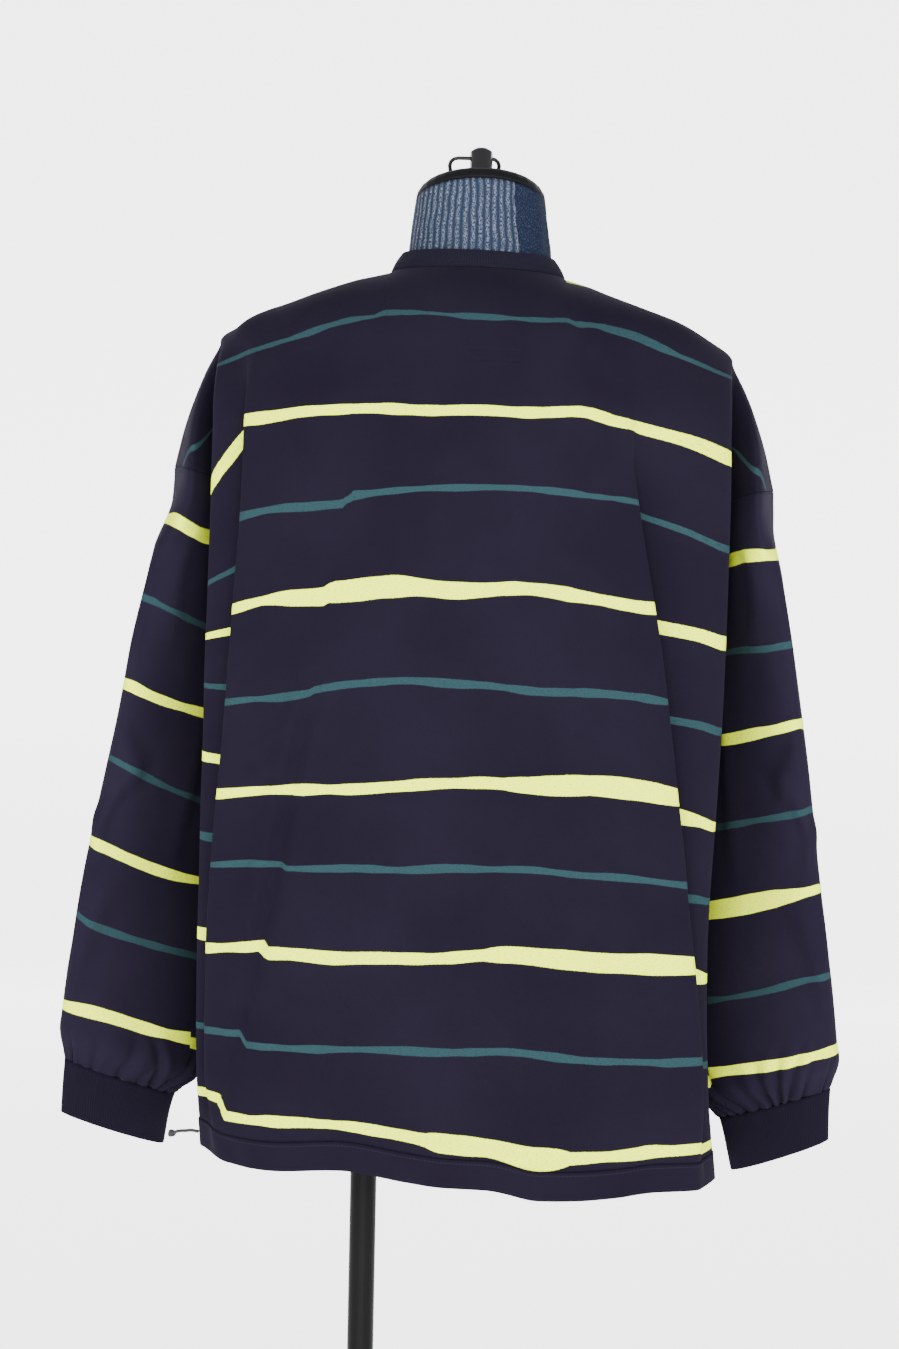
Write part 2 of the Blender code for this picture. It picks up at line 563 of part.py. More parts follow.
def make_collar(cloth):
    """The neck rib: a band that stands up from the neckline all the way round."""
    foot, rise, seam_normals = [], [], []
    for place, front, side in neck_ring():
        radial, across, normal = neck_seam(place, front, side)
        foot.append(top_edge(place, front, side) + across * SEAM / 2)
        rise.append(np.array([0, 0, math.sin(RIB_RISE)]) - radial * math.cos(RIB_RISE))
        seam_normals.append(normal)
    grid = np.array([np.array(foot) + np.array(rise) * RIB * t for t in (1.0, 0.55, 0.15, 0.0)])
    normals = surface_normals(grid, grid - grid.mean(axis=(0, 1)), closed=True)
    normals[-1] = seam_normals
    wall("collar_rib", grid, normals, cloth, closed=True)


def make_hem(cloth):
    """The hem casing: the turned-up bottom of the body, all the way round."""
    top = HEM_LEVEL + CASING
    rows = []
    for height in (top, HEM_LEVEL + CASING / 2, HEM_LEVEL):
        back = level_section(False, height)[DROPPED_FACETS:-DROPPED_FACETS]
        front = level_section(True, height)[DROPPED_FACETS:-DROPPED_FACETS][::-1]
        for half in (back, front):
            half[0, 1] = half[-1, 1] = 0.0
        rows.append(np.vstack([back, front[1:-1]]))
    grid = np.array(rows)
    normals = surface_normals(grid, grid - grid.mean(axis=(0, 1)), closed=True)
    normals[..., 2] = 0
    wall("hem_casing", grid, unit(normals), cloth, closed=True, thick=CASING_WALL)


# ---------------------------------------------------------------- sleeves and cuffs
def armhole_ring(side):
    """The armhole seam's points, from the shoulder seam by the back to the underarm and by the front."""
    back = level_section(False, ARMHOLE_LEVEL)
    front = level_section(True, ARMHOLE_LEVEL)
    if side > 0:
        back, front = back[::-1], front[::-1]
    ring = np.vstack([back[:DROPPED_FACETS + 1], front[1:DROPPED_FACETS + 1][::-1]])
    ring[0, 1] = 0.0
    for step, clear in enumerate(UNDERARM_CLEAR):
        ring[DROPPED_FACETS - step, 0] += side * clear
        ring[DROPPED_FACETS + 1 + step, 0] += side * clear
    return ring


def sleeve_section(side, height, turns):
    """A sleeve's own section at a nominal height, at angles that start on its outer side."""
    tab = SLEEVE_LEFT if side < 0 else SLEEVE_RIGHT
    out, forward, long, thin, turn, tilt = (
        float(read(tab, column, height)) for column in ("out", "forward", "long", "thin", "turn", "tilt"))
    turn = math.radians(turn)
    outward = thin * np.cos(turns) * math.cos(turn) + long * np.sin(turns) * math.sin(turn)
    backward = long * np.sin(turns) * math.cos(turn) - thin * np.cos(turns) * math.sin(turn)
    return world(out + outward, backward - forward, height + tilt * outward, side)


def make_sleeve(side, cloth, rib):
    """A sleeve from the armhole to the cuff, gathered there, and its ribbed cuff."""
    name = "left" if side < 0 else "right"
    ring = armhole_ring(side)
    steps = np.linalg.norm(np.roll(ring, -1, axis=0) - ring, axis=1)
    turns = 2 * math.pi * np.concatenate([[0], np.cumsum(steps)[:-1]]) / steps.sum()
    rows = [ring - np.array([0, 0, SEAM])]
    for height in SLEEVE_ROWS + (CUFF_TOP,):
        t = min((ARMHOLE_LEVEL - height) / SLEEVE_BLEND, 1.0)
        blend = t * t * (3 - 2 * t)
        hanging = ring - np.array([0, 0, ARMHOLE_LEVEL - height])
        rows.append(hanging * (1 - blend) + sleeve_section(side, height, turns) * blend)
    grid = np.array(rows)
    middle = grid.mean(axis=1, keepdims=True)
    normals = surface_normals(grid, grid - middle, closed=True)
    normals[0] = unit(normals[0] * np.array([1, 1, 0]))
    normals[0, 0] = (side, 0, 0)
    wave = np.cos(GATHERS * np.arange(len(ring)) * 2 * math.pi / len(ring))[:, None]
    for row, height in enumerate((ARMHOLE_LEVEL,) + SLEEVE_ROWS):
        depth = GATHER_DEPTH * np.clip((GATHER_TOP - height) / (GATHER_TOP - GATHER_FULL), 0, 1)
        grid[row] += normals[row] * wave * depth
    normals[-1] = unit(normals[-1] * np.array([1, 1, 0]))
    wall("sleeve_" + name, grid, normals, cloth, closed=True)

    rows = [sleeve_section(side, height, turns) for height in CUFF_ROWS]
    rows[0] = rows[0] - np.array([0, 0, SEAM])
    grid = np.array(rows)
    cuff_normals = surface_normals(grid, grid - middle[-1], closed=True)
    cuff_normals[0] = normals[-1]
    wall("cuff_" + name, grid, cuff_normals, rib, closed=True)


# ---------------------------------------------------------------- drawcord
def make_drawcord(cloth):
    """The cord's end, which comes out of the hem casing at the wearer's left, and its knot."""
    ring = level_section(False, CORD_HEIGHT)[DROPPED_FACETS:]
    root = min(ring, key=lambda point: abs(point[1] + CORD_BACK) + abs(point[0] - ring[0][0]))
    start = root - np.array([CASING_WALL / 2 + CORD_CLEAR, 0, 0])
    way = spline([start] + [start + offset for offset in CORD_WAY], (2,) * len(CORD_WAY))
    curve = bpy.data.curves.new("drawcord", "CURVE")
    curve.dimensions = "3D"
    curve.bevel_depth = CORD_RADIUS * MM
    curve.bevel_resolution = 2
    curve.use_fill_caps = True
    run = curve.splines.new("POLY")
    run.points.add(len(way) - 1)
    for point, spot in zip(run.points, way):
        point.co = (spot[0] * MM, spot[1] * MM, spot[2] * MM, 1)
    curve.materials.append(cloth)
    bpy.context.collection.objects.link(bpy.data.objects.new("drawcord", curve))
    profile = [(KNOT_RADIUS * math.sin(a), -KNOT_RADIUS * math.cos(a)) for a in np.linspace(0, math.pi, 7)]
    centre = way[-1] + unit(way[-1] - way[-2]) * (KNOT_RADIUS + SEAM)
    turned("drawcord_knot", profile, 10, cloth, centre)


# ---------------------------------------------------------------- dress form
def form_ring(back, front):
    """A ring from one row of the back and one of the front, from the left by the back round to the front."""
    columns = [0] + list(range(DROPPED_FACETS, len(back) - DROPPED_FACETS)) + [len(back) - 1]
    back, front = back[columns].copy(), front[columns].copy()
    for column in (0, -1):
        back[column, 1] = 0.0
    return np.vstack([back, front[1:-1][::-1]])


def form_section(front, row, heights):
    """The form's section under one row of a panel: each column's point at its own height."""
    wide, deep = read(FORM, "wide", heights), read(FORM, "front" if front else "back", heights)
    power = np.interp(heights, (1180, SECTION_TOP), (FORM_ROUNDNESS_LOW, FORM_ROUNDNESS))
    offset = row[:, 0] - SHIRT_X
    turn = np.arccos(np.minimum(np.abs(offset) / RIDGE["out"][0], 1.0) ** (FORM_ROUNDNESS / 2))
    out = wide * np.cos(turn) ** (2 / power)
    back = deep * np.sin(turn) ** (2 / power)
    return world(out * np.sign(offset), -back if front else back, heights, 1)


def form_half(front):
    """One row of points for each ring of the form, under the columns of the front or the back."""
    grid = panel_grid(front)
    normals = panel_normals(grid, front)
    rows = []
    for k in range(UPPER_ROWS + 1):
        under = WALL / 2 + SEAT + FORM_CLEAR * math.sqrt(k / UPPER_ROWS)
        rows.append(grid[k] - normals[k] * under)
    for column, (place, side) in enumerate(panel_places()):
        if place > 1:
            rows[0][column] = top_edge(place, front, side) - np.array([0, 0, WALL / 2 + SEAT])
        elif place == 1:
            rows[0][column, 1] += -SEAM / 2 if front else SEAM / 2
    last = grid[UPPER_ROWS]
    starts = last[:, 2] + SHOULDER_DROP * (last[:, 0] - SHIRT_X)
    for q in FORM_UPPER_STEPS:
        rows.append(form_section(front, last, starts + (FORM_CHEST - starts) * q))
    for height in FORM_ROWS:
        rows.append(form_section(front, last, np.full(len(last), height)))
    foot = rows[-1].copy()
    for inset, height in ((FORM_EDGE * 0.3, FORM_BOTTOM + FORM_EDGE * 0.3), (FORM_EDGE, FORM_BOTTOM)):
        row = foot.copy()
        row[:, :2] -= unit(foot[:, :2] - [SHIRT_X, 0]) * inset
        row[:, 2] = height
        rows.append(row)
    return rows


def make_form(material):
    """The torso with its neck, closed and smooth, with a flat underside."""
    rings = [form_ring(back, front) for back, front in zip(form_half(False), form_half(True))]
    n = len(rings[0])
    verts = [point for ring in rings for point in ring]
    faces = []
    for r in range(len(rings) - 1):
        for c in range(n):
            a, b = r * n + c, r * n + (c + 1) % n
            faces.append((a, b, b + n, a + n))
    faces.append(tuple(range((len(rings) - 1) * n, len(rings) * n)))

    middle = n // 4
    left_neck, right_neck = middle - NECK_FACETS, middle + NECK_FACETS
    base = list(range(left_neck, right_neck + 1))
    base += [n - k for k in range(right_neck - 1, left_neck, -1)]
    neck_rings = neck_surface(rings[0][base])
    m = len(base)
    start = len(verts)
    verts += [point for ring in neck_rings for point in ring]
    for r in range(len(neck_rings) - 1):
        for c in range(m):
            a, b = start + r * m + c, start + r * m + (c + 1) % m
            faces.append((a, a + m, b + m, b))
    faces.append(tuple(range(start + (len(neck_rings) - 1) * m, start + len(neck_rings) * m)))
    new_object("form_torso", verts, faces, material)


def neck_point(base, height, inset):
    """A point of the neck's surface above or below a point of its base ring."""
    away = unit((base - np.array([NECK_X, 0, 0])) * np.array([1, 1, 0]))
    wide = float(read(NECK, "wide", height)) - inset
    deep = float(read(NECK, "deep", height)) - inset
    reach = 1 / math.hypot(away[0] / wide, away[1] / deep)
    return np.array([NECK_X + away[0] * reach, away[1] * reach, height])


def neck_foot(base):
    """Height of the neck cover's lower edge at a point of the neck's base ring: lower in front."""
    frontness = np.clip(base[1] / NECK_FRONT, 0, 1)
    return NECK_COVER_FOOT - NECK_COVER_FRONT_DIP * frontness


def neck_surface(base):
    """Rings from the neck's base on the shoulders up to the slanted plane under the cap."""
    inset = NECK_COVER + NECK_CLEAR
    rings = [base]
    feet = np.array([neck_point(b, neck_foot(b), inset) for b in base])
    knees = feet.copy()
    knees[:, :2] = (feet[:, :2] - [NECK_X, 0]) * 1.03 + [NECK_X, 0]
    knees[:, 2] = base[:, 2] * 0.65 + feet[:, 2] * 0.35
    for t in (0.35, 0.7, 1.0):
        rings.append(base * (1 - t) ** 2 + knees * 2 * t * (1 - t) + feet * t * t)
    for t in (0.5, 1.0):
        rings.append(np.array([neck_level(b, t, inset) for b in base]))
    return rings


def neck_level(base, t, inset):
    """A point of the neck between its cover's lower edge (t = 0) and the plane under the cap (t = 1)."""
    top = CAP_MIDDLE - SEAT / math.cos(CAP_TILT)
    point = neck_point(base, top, inset)
    for _ in range(3):
        point = neck_point(base, top - math.tan(CAP_TILT) * point[1], inset)
    height = neck_foot(base) * (1 - t) + point[2] * t
    return point if t == 1.0 else neck_point(base, height, inset)


def make_neck_cover(material):
    """The patchwork cloth round the neck, from inside the rib up to the cap."""
    base = np.array([top_edge(place, front, side) for place, front, side in neck_ring()])
    grid = np.array([[neck_level(b, t, NECK_COVER / 2) for b in base] for t in (1.0, 0.66, 0.33, 0.0)])
    grid[0, :, 2] -= SEAT
    normals = surface_normals(grid, grid - grid.mean(axis=(0, 1)), closed=True)
    normals[..., 2] = 0
    wall("neck_cover", grid, unit(normals), material, closed=True, thick=NECK_COVER)


def cap_place(along, across=0.0, up=0.0):
    """World place of a point on the cap's own axes: to the right, forward and up from its underside."""
    return np.array([NECK_X + along, across * math.cos(CAP_TILT) + up * math.sin(CAP_TILT),
                     CAP_MIDDLE - across * math.sin(CAP_TILT) + up * math.cos(CAP_TILT)])


def make_cap(black):
    """The cap on the neck and the knob on top of it, with the cross hole for the ring."""
    edge = [(CAP_RADIUS - CAP_ROUND * (1 - math.sin(a)), CAP_RIM - CAP_ROUND * (1 - math.cos(a)))
            for a in np.linspace(math.pi / 2, 0.25, 5)]
    profile = [(0, 0), (CAP_RADIUS - 1.5, 0), (CAP_RADIUS, 1.5)] + edge
    profile += [(KNOB_RADIUS * 3.0, CAP_THICK - 1.6), (KNOB_RADIUS * 1.4, CAP_THICK), (0, CAP_THICK)]
    turned("neck_cap", profile, 32, black, (NECK_X, 0, CAP_MIDDLE), -CAP_TILT)
    low = CAP_THICK + SEAT
    profile = [(0, low), (KNOB_RADIUS, low), (KNOB_RADIUS, KNOB_TOP - KNOB_EDGE),
               (KNOB_RADIUS - KNOB_EDGE, KNOB_TOP), (0, KNOB_TOP)]
    knob = turned("knob", profile, 24, black, (NECK_X, 0, CAP_MIDDLE), -CAP_TILT)
    bore = turned("knob_hole", [(0, -20), (HOLE_RADIUS, -20), (HOLE_RADIUS, 20), (0, 20)], 16, black)
    bore.rotation_euler = (0, math.pi / 2, 0)
    bore.location = tuple(cap_place(0, 0, KNOB_HOLE) * MM)
    bore.hide_render = True
    bore.display_type = "WIRE"
    cut = knob.modifiers.new("cross hole", "BOOLEAN")
    cut.operation = "DIFFERENCE"
    cut.solver = "EXACT"
    cut.object = bore


def make_ring(steel):
    """The wire ring in the knob's cross hole. It lies on the cap, and its origin is on the hole's axis."""
    path = []
    inner = RING_HALF_WIDTH - RING_CORNER
    for x in np.linspace(-inner, inner, 5):
        path.append((x, 0.0))
    for a in np.linspace(-math.pi / 2, 0, 4)[1:]:
        path.append((inner + RING_CORNER * math.cos(a), RING_CORNER + RING_CORNER * math.sin(a)))
    bow = RING_REACH - RING_CORNER
    for a in np.linspace(0, math.pi, 13)[1:]:
        path.append((RING_HALF_WIDTH * math.cos(a), RING_CORNER + bow * math.sin(a)))
    for a in np.linspace(math.pi, 1.5 * math.pi, 4)[1:-1]:
        path.append((-inner + RING_CORNER * math.cos(a), RING_CORNER + RING_CORNER * math.sin(a)))
    path = np.array(path)
    ahead = unit(np.roll(path, -1, axis=0) - np.roll(path, 1, axis=0))
    beside = np.stack([ahead[:, 1], -ahead[:, 0]], axis=-1)
    lean = RING_REST - CAP_TILT
    forward = np.array([0, math.cos(lean), math.sin(lean)])
    above = np.array([0, -math.sin(lean), math.cos(lean)])
    hub = cap_place(0, 0, KNOB_HOLE)
    rings = []
    for (x, y), (sx, sy) in zip(path, beside):
        ring = []
        for a in np.linspace(0, 2 * math.pi, 8, endpoint=False):
            px = x + RING_SHIFT + RING_WIRE * math.cos(a) * sx
            py = y + RING_WIRE * math.cos(a) * sy
            ring.append(np.array([px, 0, 0]) + forward * py + above * RING_WIRE * math.sin(a))
        rings.append(ring)
    verts = [point for ring in rings for point in ring]
    faces = []
    for r in range(len(rings)):
        for c in range(8):
            a, b = r * 8 + c, r * 8 + (c + 1) % 8
            d, e = (r + 1) % len(rings) * 8 + (c + 1) % 8, (r + 1) % len(rings) * 8 + c
            faces.append((a, b, d, e))
    ring = new_object("hang_ring", verts, faces, steel)
    ring.location = tuple(hub * MM)


def make_stand(black):
    """The socket under the form, the pole, its foot and the round floor plate."""
    top = FORM_BOTTOM - SEAT
    bore = POLE_RADIUS + SEAT
    under = top - FLANGE
    turned("socket", [(0, top), (FLANGE_RADIUS, top), (FLANGE_RADIUS, under),
                      (SOCKET_RADIUS + FLANGE_SWEEP, under - FLANGE_SWEEP / 2),
                      (SOCKET_RADIUS, under - FLANGE_SWEEP), (SOCKET_RADIUS, top - SOCKET_HEIGHT),
                      (bore, top - SOCKET_HEIGHT), (bore, under - SOCKET_FLOOR), (0, under - SOCKET_FLOOR)],
           32, black)
    low = PLATE + SEAT
    pole_low = low + FOOT_FLOOR + SEAT
    pole_top = under - SOCKET_FLOOR - SEAT
    turned("pole", [(0, pole_low), (POLE_RADIUS, pole_low), (POLE_RADIUS, pole_top), (0, pole_top)],
           32, black)
    turned("pole_foot", [(0, low), (FOOT_RADIUS, low), (FOOT_RADIUS, low + FOOT_RIM),
                         (FOOT_NECK, low + FOOT_HEIGHT), (bore, low + FOOT_HEIGHT), (bore, low + FOOT_FLOOR),
                         (0, low + FOOT_FLOOR)], 32, black)
    edge, round_edge = PLATE_EDGE, 2 * PLATE_EDGE
    turned("floor_plate", [(0, 0), (PLATE_RADIUS - edge, 0), (PLATE_RADIUS, edge),
                           (PLATE_RADIUS, PLATE - round_edge), (PLATE_RADIUS - round_edge, PLATE), (0, PLATE)],
           48, black)


# ---------------------------------------------------------------- materials and assembly
def paint(name, colour, roughness, metallic=0.0):
    """A plain Principled material."""
    material = bpy.data.materials.new(name)
    material.use_nodes = True
    shader = material.node_tree.nodes["Principled BSDF"]
    shader.inputs["Base Color"].default_value = (*colour, 1.0)
    shader.inputs["Roughness"].default_value = roughness
    shader.inputs["Metallic"].default_value = metallic
    return material


def build():
    """Clear the scene and make every piece."""
    for obj in list(bpy.data.objects):
        bpy.data.objects.remove(obj)
    jersey = paint("navy jersey", (0.022, 0.019, 0.042), 0.85)
    rib = paint("navy rib", (0.020, 0.017, 0.038), 0.9)
    cord = paint("black cord", (0.008, 0.008, 0.009), 0.8)
    body = paint("black form", (0.015, 0.015, 0.016), 0.5)
    patchwork = paint("indigo patchwork", (0.028, 0.062, 0.165), 0.9)
    black = paint("black paint", (0.010, 0.010, 0.011), 0.4)
    steel = paint("dark wire", (0.06, 0.06, 0.06), 0.35, 1.0)
    make_panel(False, jersey)
    make_panel(True, jersey)
    for side in (-1, 1):
        make_sleeve(side, jersey, rib)
    make_collar(rib)
    make_hem(jersey)
    make_drawcord(cord)
    make_form(body)
    make_neck_cover(patchwork)
    make_cap(black)
    make_ring(steel)
    make_stand(black)


build()
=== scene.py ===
"""Looks of an oversized striped long-sleeve t-shirt, seen from behind on a limbless dress form."""
import math

import bmesh
import bpy
import numpy as np
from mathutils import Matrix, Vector

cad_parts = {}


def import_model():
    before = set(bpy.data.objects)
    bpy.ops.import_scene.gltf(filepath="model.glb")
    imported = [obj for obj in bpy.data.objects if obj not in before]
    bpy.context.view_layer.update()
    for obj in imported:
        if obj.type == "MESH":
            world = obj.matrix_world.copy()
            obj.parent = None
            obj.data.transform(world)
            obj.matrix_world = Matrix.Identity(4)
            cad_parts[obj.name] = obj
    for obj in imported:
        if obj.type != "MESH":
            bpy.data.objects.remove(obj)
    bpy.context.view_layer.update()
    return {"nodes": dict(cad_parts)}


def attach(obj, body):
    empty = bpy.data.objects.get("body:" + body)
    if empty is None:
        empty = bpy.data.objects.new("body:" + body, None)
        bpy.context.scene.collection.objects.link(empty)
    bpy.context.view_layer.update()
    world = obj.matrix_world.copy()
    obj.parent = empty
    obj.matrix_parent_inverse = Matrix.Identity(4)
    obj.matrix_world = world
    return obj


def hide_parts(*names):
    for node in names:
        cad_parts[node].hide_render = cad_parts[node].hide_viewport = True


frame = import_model()
BODY = "shirt_and_form"


# The stand: floor plate, pole foot, pole and socket. They are steel with satin black powder
# paint, and keep their solids; the paint has a fine orange peel and its gloss is a little uneven.
def finish(name, colour, roughness):
    """A new material, with its node tree and its Principled shader."""
    made = bpy.data.materials.new(name)
    made.use_nodes = True
    shader = made.node_tree.nodes["Principled BSDF"]
    shader.inputs["Base Color"].default_value = (*colour, 1)
    shader.inputs["Roughness"].default_value = roughness
    return made, made.node_tree, shader


def node(tree, kind, feeds=(), **settings):
    """A shader node with its settings, fed by values and by other nodes' sockets."""
    made = tree.nodes.new("ShaderNode" + kind)
    for key, value in settings.items():
        setattr(made, key, value)
    for key, value in dict(feeds).items():
        if isinstance(value, bpy.types.NodeSocket):
            tree.links.new(value, made.inputs[key])
        else:
            made.inputs[key].default_value = value
    return made


def noise(tree, place, scale, detail=2.0, flat=True):
    """A noise of the cloth's flat coordinates, or of a place in space."""
    return node(tree, "TexNoise", {"Vector": place, "Scale": scale, "Detail": detail},
                noise_dimensions="2D" if flat else "3D").outputs[0]


def ramp(tree, value, low, high, first=0.0, last=1.0):
    """A value that goes from first to last as another goes from low to high."""
    return node(tree, "MapRange", {"Value": value, "From Min": low, "From Max": high, "To Min": first,
                                   "To Max": last}).outputs[0]


def emboss(tree, shader, height, strength, depth):
    """Gives a shader low relief of a depth in metres."""
    bump = node(tree, "Bump", {"Height": height, "Strength": strength, "Distance": depth})
    tree.links.new(bump.outputs[0], shader.inputs["Normal"])


def painted_steel(name, colour, roughness, peel, gloss):
    """Satin paint with a fine orange peel and slightly uneven gloss."""
    made, tree, shader = finish(name, colour, roughness)
    place = node(tree, "TexCoord").outputs["Object"]
    span = ramp(tree, noise(tree, place, 24.0, 3.0, False), 0.0, 1.0, roughness - 0.06, roughness + 0.09)
    tree.links.new(span, shader.inputs["Roughness"])
    emboss(tree, shader, noise(tree, place, 900.0, 1.0, False), peel, 0.0004)
    shader.inputs["Specular IOR Level"].default_value = gloss
    return made


def dress(name, material):
    """Gives a solid of the frame its material."""
    solid = frame["nodes"][name]
    solid.data.materials.clear()
    solid.data.materials.append(material)


black_paint = painted_steel("satin black paint", (0.0044, 0.0043, 0.0046), 0.42, 0.12, 0.06)
for solid_name in ("floor_plate", "pole_foot", "pole", "socket"):
    dress(solid_name, black_paint)


# The dress form's torso: moulded fibre board under a tight matt black covering. It shows only
# from below the hem and round the neckline, so it keeps its smooth solid.
covering, tree, shader = finish("matt black covering", (0.014, 0.014, 0.015), 0.8)
place = node(tree, "TexCoord").outputs["Object"]
emboss(tree, shader, noise(tree, place, 700.0, 2.0, False), 0.3, 0.0005)
shader.inputs["Sheen Weight"].default_value = 0.25
dress("form_torso", covering)


# The neck's cover: old indigo cotton wrapped round the neck, with upright rows of pale running
# stitches that have worn to streaks, and a plainer, darker patch sewn on at the right.
NECK_X = 86.0
NECK_WIDTHS = ((1435, 64.0, 60.0), (1465, 63.2, 59.4), (1480, 62.3, 58.6), (1505, 59.0, 55.0), (1540, 55.0, 51.5))
NECK_FOOT = 1466.0
COVER_FRONT_DIP = 24.0
CAP_TILT = math.radians(16.0)
CAP_MIDDLE = 1519.4
COVER_WALL = 1.6
UNROLLED = 0.060                        # the cover's mean radius, in metres, for its flat coordinates
STITCH_ROW = 0.0068
PATCH_START = math.radians(303)


def neck_place(turn, height, inset):
    """A point on the neck, in millimetres, at an angle from +X and a height."""
    heights, wide, deep = zip(*NECK_WIDTHS)
    wide = np.interp(height, heights, wide) - inset
    deep = np.interp(height, heights, deep) - inset
    reach = 1 / math.hypot(math.cos(turn) / wide, math.sin(turn) / deep)
    return np.array([NECK_X + math.cos(turn) * reach, math.sin(turn) * reach, height])


def mesh_from(name, bm):
    """A smooth mesh from a bmesh, which is freed."""
    mesh = bpy.data.meshes.new(name)
    bm.to_mesh(mesh)
    bm.free()
    mesh.shade_smooth()
    return mesh


def placed(name, data):
    """A new object in the scene."""
    made = bpy.data.objects.new(name, data)
    bpy.context.collection.objects.link(made)
    return made


bm = bmesh.new()
TURNS, LEVELS = 120, 20
bmesh.ops.create_grid(bm, x_segments=TURNS, y_segments=LEVELS, size=1.0)
layer = bm.loops.layers.uv.new("cut")
bm.verts.ensure_lookup_table()
cover_places = {}
for vert in bm.verts:
    column, level = vert.index % (TURNS + 1), vert.index // (TURNS + 1)
    turn = 2 * math.pi * column / TURNS
    top = CAP_MIDDLE - math.tan(CAP_TILT) * neck_place(turn, CAP_MIDDLE, COVER_WALL / 2)[1]
    foot = NECK_FOOT - COVER_FRONT_DIP * max(math.sin(turn), 0)
    spot = neck_place(turn, foot + (top - foot) * level / LEVELS, COVER_WALL / 2)
    ripple = 0.25 * math.sin(turn * 23 + 0.8 * math.sin(level * 0.4)) + 0.2 * math.sin(turn * 9 + level * 0.3)
    out = np.array([spot[0] - NECK_X, spot[1], 0])
    spot = spot + out / np.linalg.norm(out) * ripple
    cover_places[vert.index] = (turn * UNROLLED, spot[2] * 0.001)
    vert.co = spot * 0.001
for face in bm.faces:
    for loop in face.loops:
        loop[layer].uv = cover_places[loop.vert.index]
bmesh.ops.remove_doubles(bm, verts=bm.verts, dist=1e-6)
bmesh.ops.recalc_face_normals(bm, faces=bm.faces)
mesh = mesh_from("neck_wrap", bm)
neck_wrap = placed("neck_wrap", mesh)
wall = neck_wrap.modifiers.new("wall", "SOLIDIFY")
wall.thickness = COVER_WALL * 0.001 - 0.0004
wall.offset = 0


def maths(tree, operation, *values, clamp=False):
    """The result of one Math node."""
    return node(tree, "Math", enumerate(values), operation=operation, use_clamp=clamp).outputs[0]


def blend(tree, factor, first, second):
    """A colour between two others."""
    made = node(tree, "Mix", {"Factor": factor}, data_type="RGBA")
    for socket, value in ((made.inputs[6], first), (made.inputs[7], second)):
        if isinstance(value, bpy.types.NodeSocket):
            tree.links.new(value, socket)
        else:
            socket.default_value = (*value, 1)
    return made.outputs[2]


def threads(tree, cut, across, down, detail=2.0):
    """A fine noise on the cloth, with so many changes a metre across and down it."""
    place = node(tree, "Mapping", {"Vector": cut, "Scale": (across, down, 1.0)}).outputs[0]
    return noise(tree, place, 1.0, detail)


def apart(tree, first, second):
    """How far two values are apart."""
    return maths(tree, "ABSOLUTE", maths(tree, "SUBTRACT", first, second))


def cloth_place(tree):
    """The cloth's own coordinates, in metres: both, the one across it and the one up it."""
    cut = node(tree, "UVMap", uv_map="cut").outputs[0]
    parts = node(tree, "SeparateXYZ", {"Vector": cut}).outputs
    return cut, parts[0], parts[1]


indigo, tree, shader = finish("indigo patchwork", (0.03, 0.06, 0.16), 0.92)
cut, across, _ = cloth_place(tree)
sway = maths(tree, "SUBTRACT", noise(tree, cut, 45.0), 0.5)
row = maths(tree, "ADD", across, maths(tree, "MULTIPLY", sway, 0.004))
phase = maths(tree, "FRACT", maths(tree, "DIVIDE", row, STITCH_ROW))
ridge = maths(tree, "SUBTRACT", 1.0, maths(tree, "MULTIPLY", apart(tree, phase, 0.5), 2.9))
thread = threads(tree, cut, 900.0, 520.0)
pale = maths(tree, "ADD", ridge, 0.15, clamp=True)
pale = maths(tree, "MULTIPLY", pale, ramp(tree, thread, 0.40, 0.60), clamp=True)
pale = maths(tree, "MULTIPLY", pale, ramp(tree, noise(tree, cut, 70.0), 0.25, 0.6, 0.55))
patch_edge = maths(tree, "ADD", across, maths(tree, "MULTIPLY", sway, 0.011))
patch = maths(tree, "GREATER_THAN", patch_edge, UNROLLED * PATCH_START)
scuff = ramp(tree, thread, 0.55, 0.8, 0.0, 0.3)
pale = node(tree, "Mix", {"Factor": patch, "A": pale, "B": scuff}).outputs[0]
ground = blend(tree, patch, (0.011, 0.018, 0.036), (0.0046, 0.0085, 0.0225))
colour = blend(tree, pale, ground, (0.136, 0.152, 0.197))
tree.links.new(colour, shader.inputs["Base Color"])
emboss(tree, shader, pale, 0.6, 0.0006)
shader.inputs["Specular IOR Level"].default_value = 0.1
mesh.materials.append(indigo)
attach(neck_wrap, BODY)
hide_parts("neck_cover")


# The cap, its knob and the wire ring: black painted wood and wire at the top of the neck, all
# kept as solids. The cap is duller than the turned knob, which shows a bright upright highlight.
cap_paint = painted_steel("black cap paint", (0.0035, 0.0035, 0.0045), 0.5, 0.10, 0.08)
knob_paint = painted_steel("black knob paint", (0.004, 0.004, 0.0045), 0.14, 0.0, 0.5)
wire_paint = painted_steel("dark wire paint", (0.005, 0.005, 0.0055), 0.36, 0.06, 0.15)
dress("neck_cap", cap_paint)
dress("knob", knob_paint)
dress("hang_ring", wire_paint)


# The back: one piece of navy cotton jersey with uneven woven-look stripes, cut wide, so that it
# drops past the shoulders and hangs in two long overlapping folds. Its cut is laid over the form
# line by line, and a stripe is a level on the cloth, so folds and tucks make it step.
SHIRT_X = 85.0
SHOULDER_DROP = 0.022
SECTION_TOP, CHEST_TOP, ARMHOLE_LEVEL, HEM_LEVEL, CASING = 1385.0, 1335.0, 1265.0, 685.0, 24.0
NECK_OUT, NECK_BACK, NECK_FRONT, NECK_SEAT = 75.0, 71.0, 88.0, 8.0
NECK_SIDE_HEIGHT, NECK_FRONT_DIP = 1455.0, 77.0
SHOULDER_OUT = 223.0
SEAM = 0.3
CLOTH = 0.0011          # the jersey's thickness, in metres
UPPER_ROWS, ARMHOLE_ROWS, LOWER_ROWS = 22, 30, 134


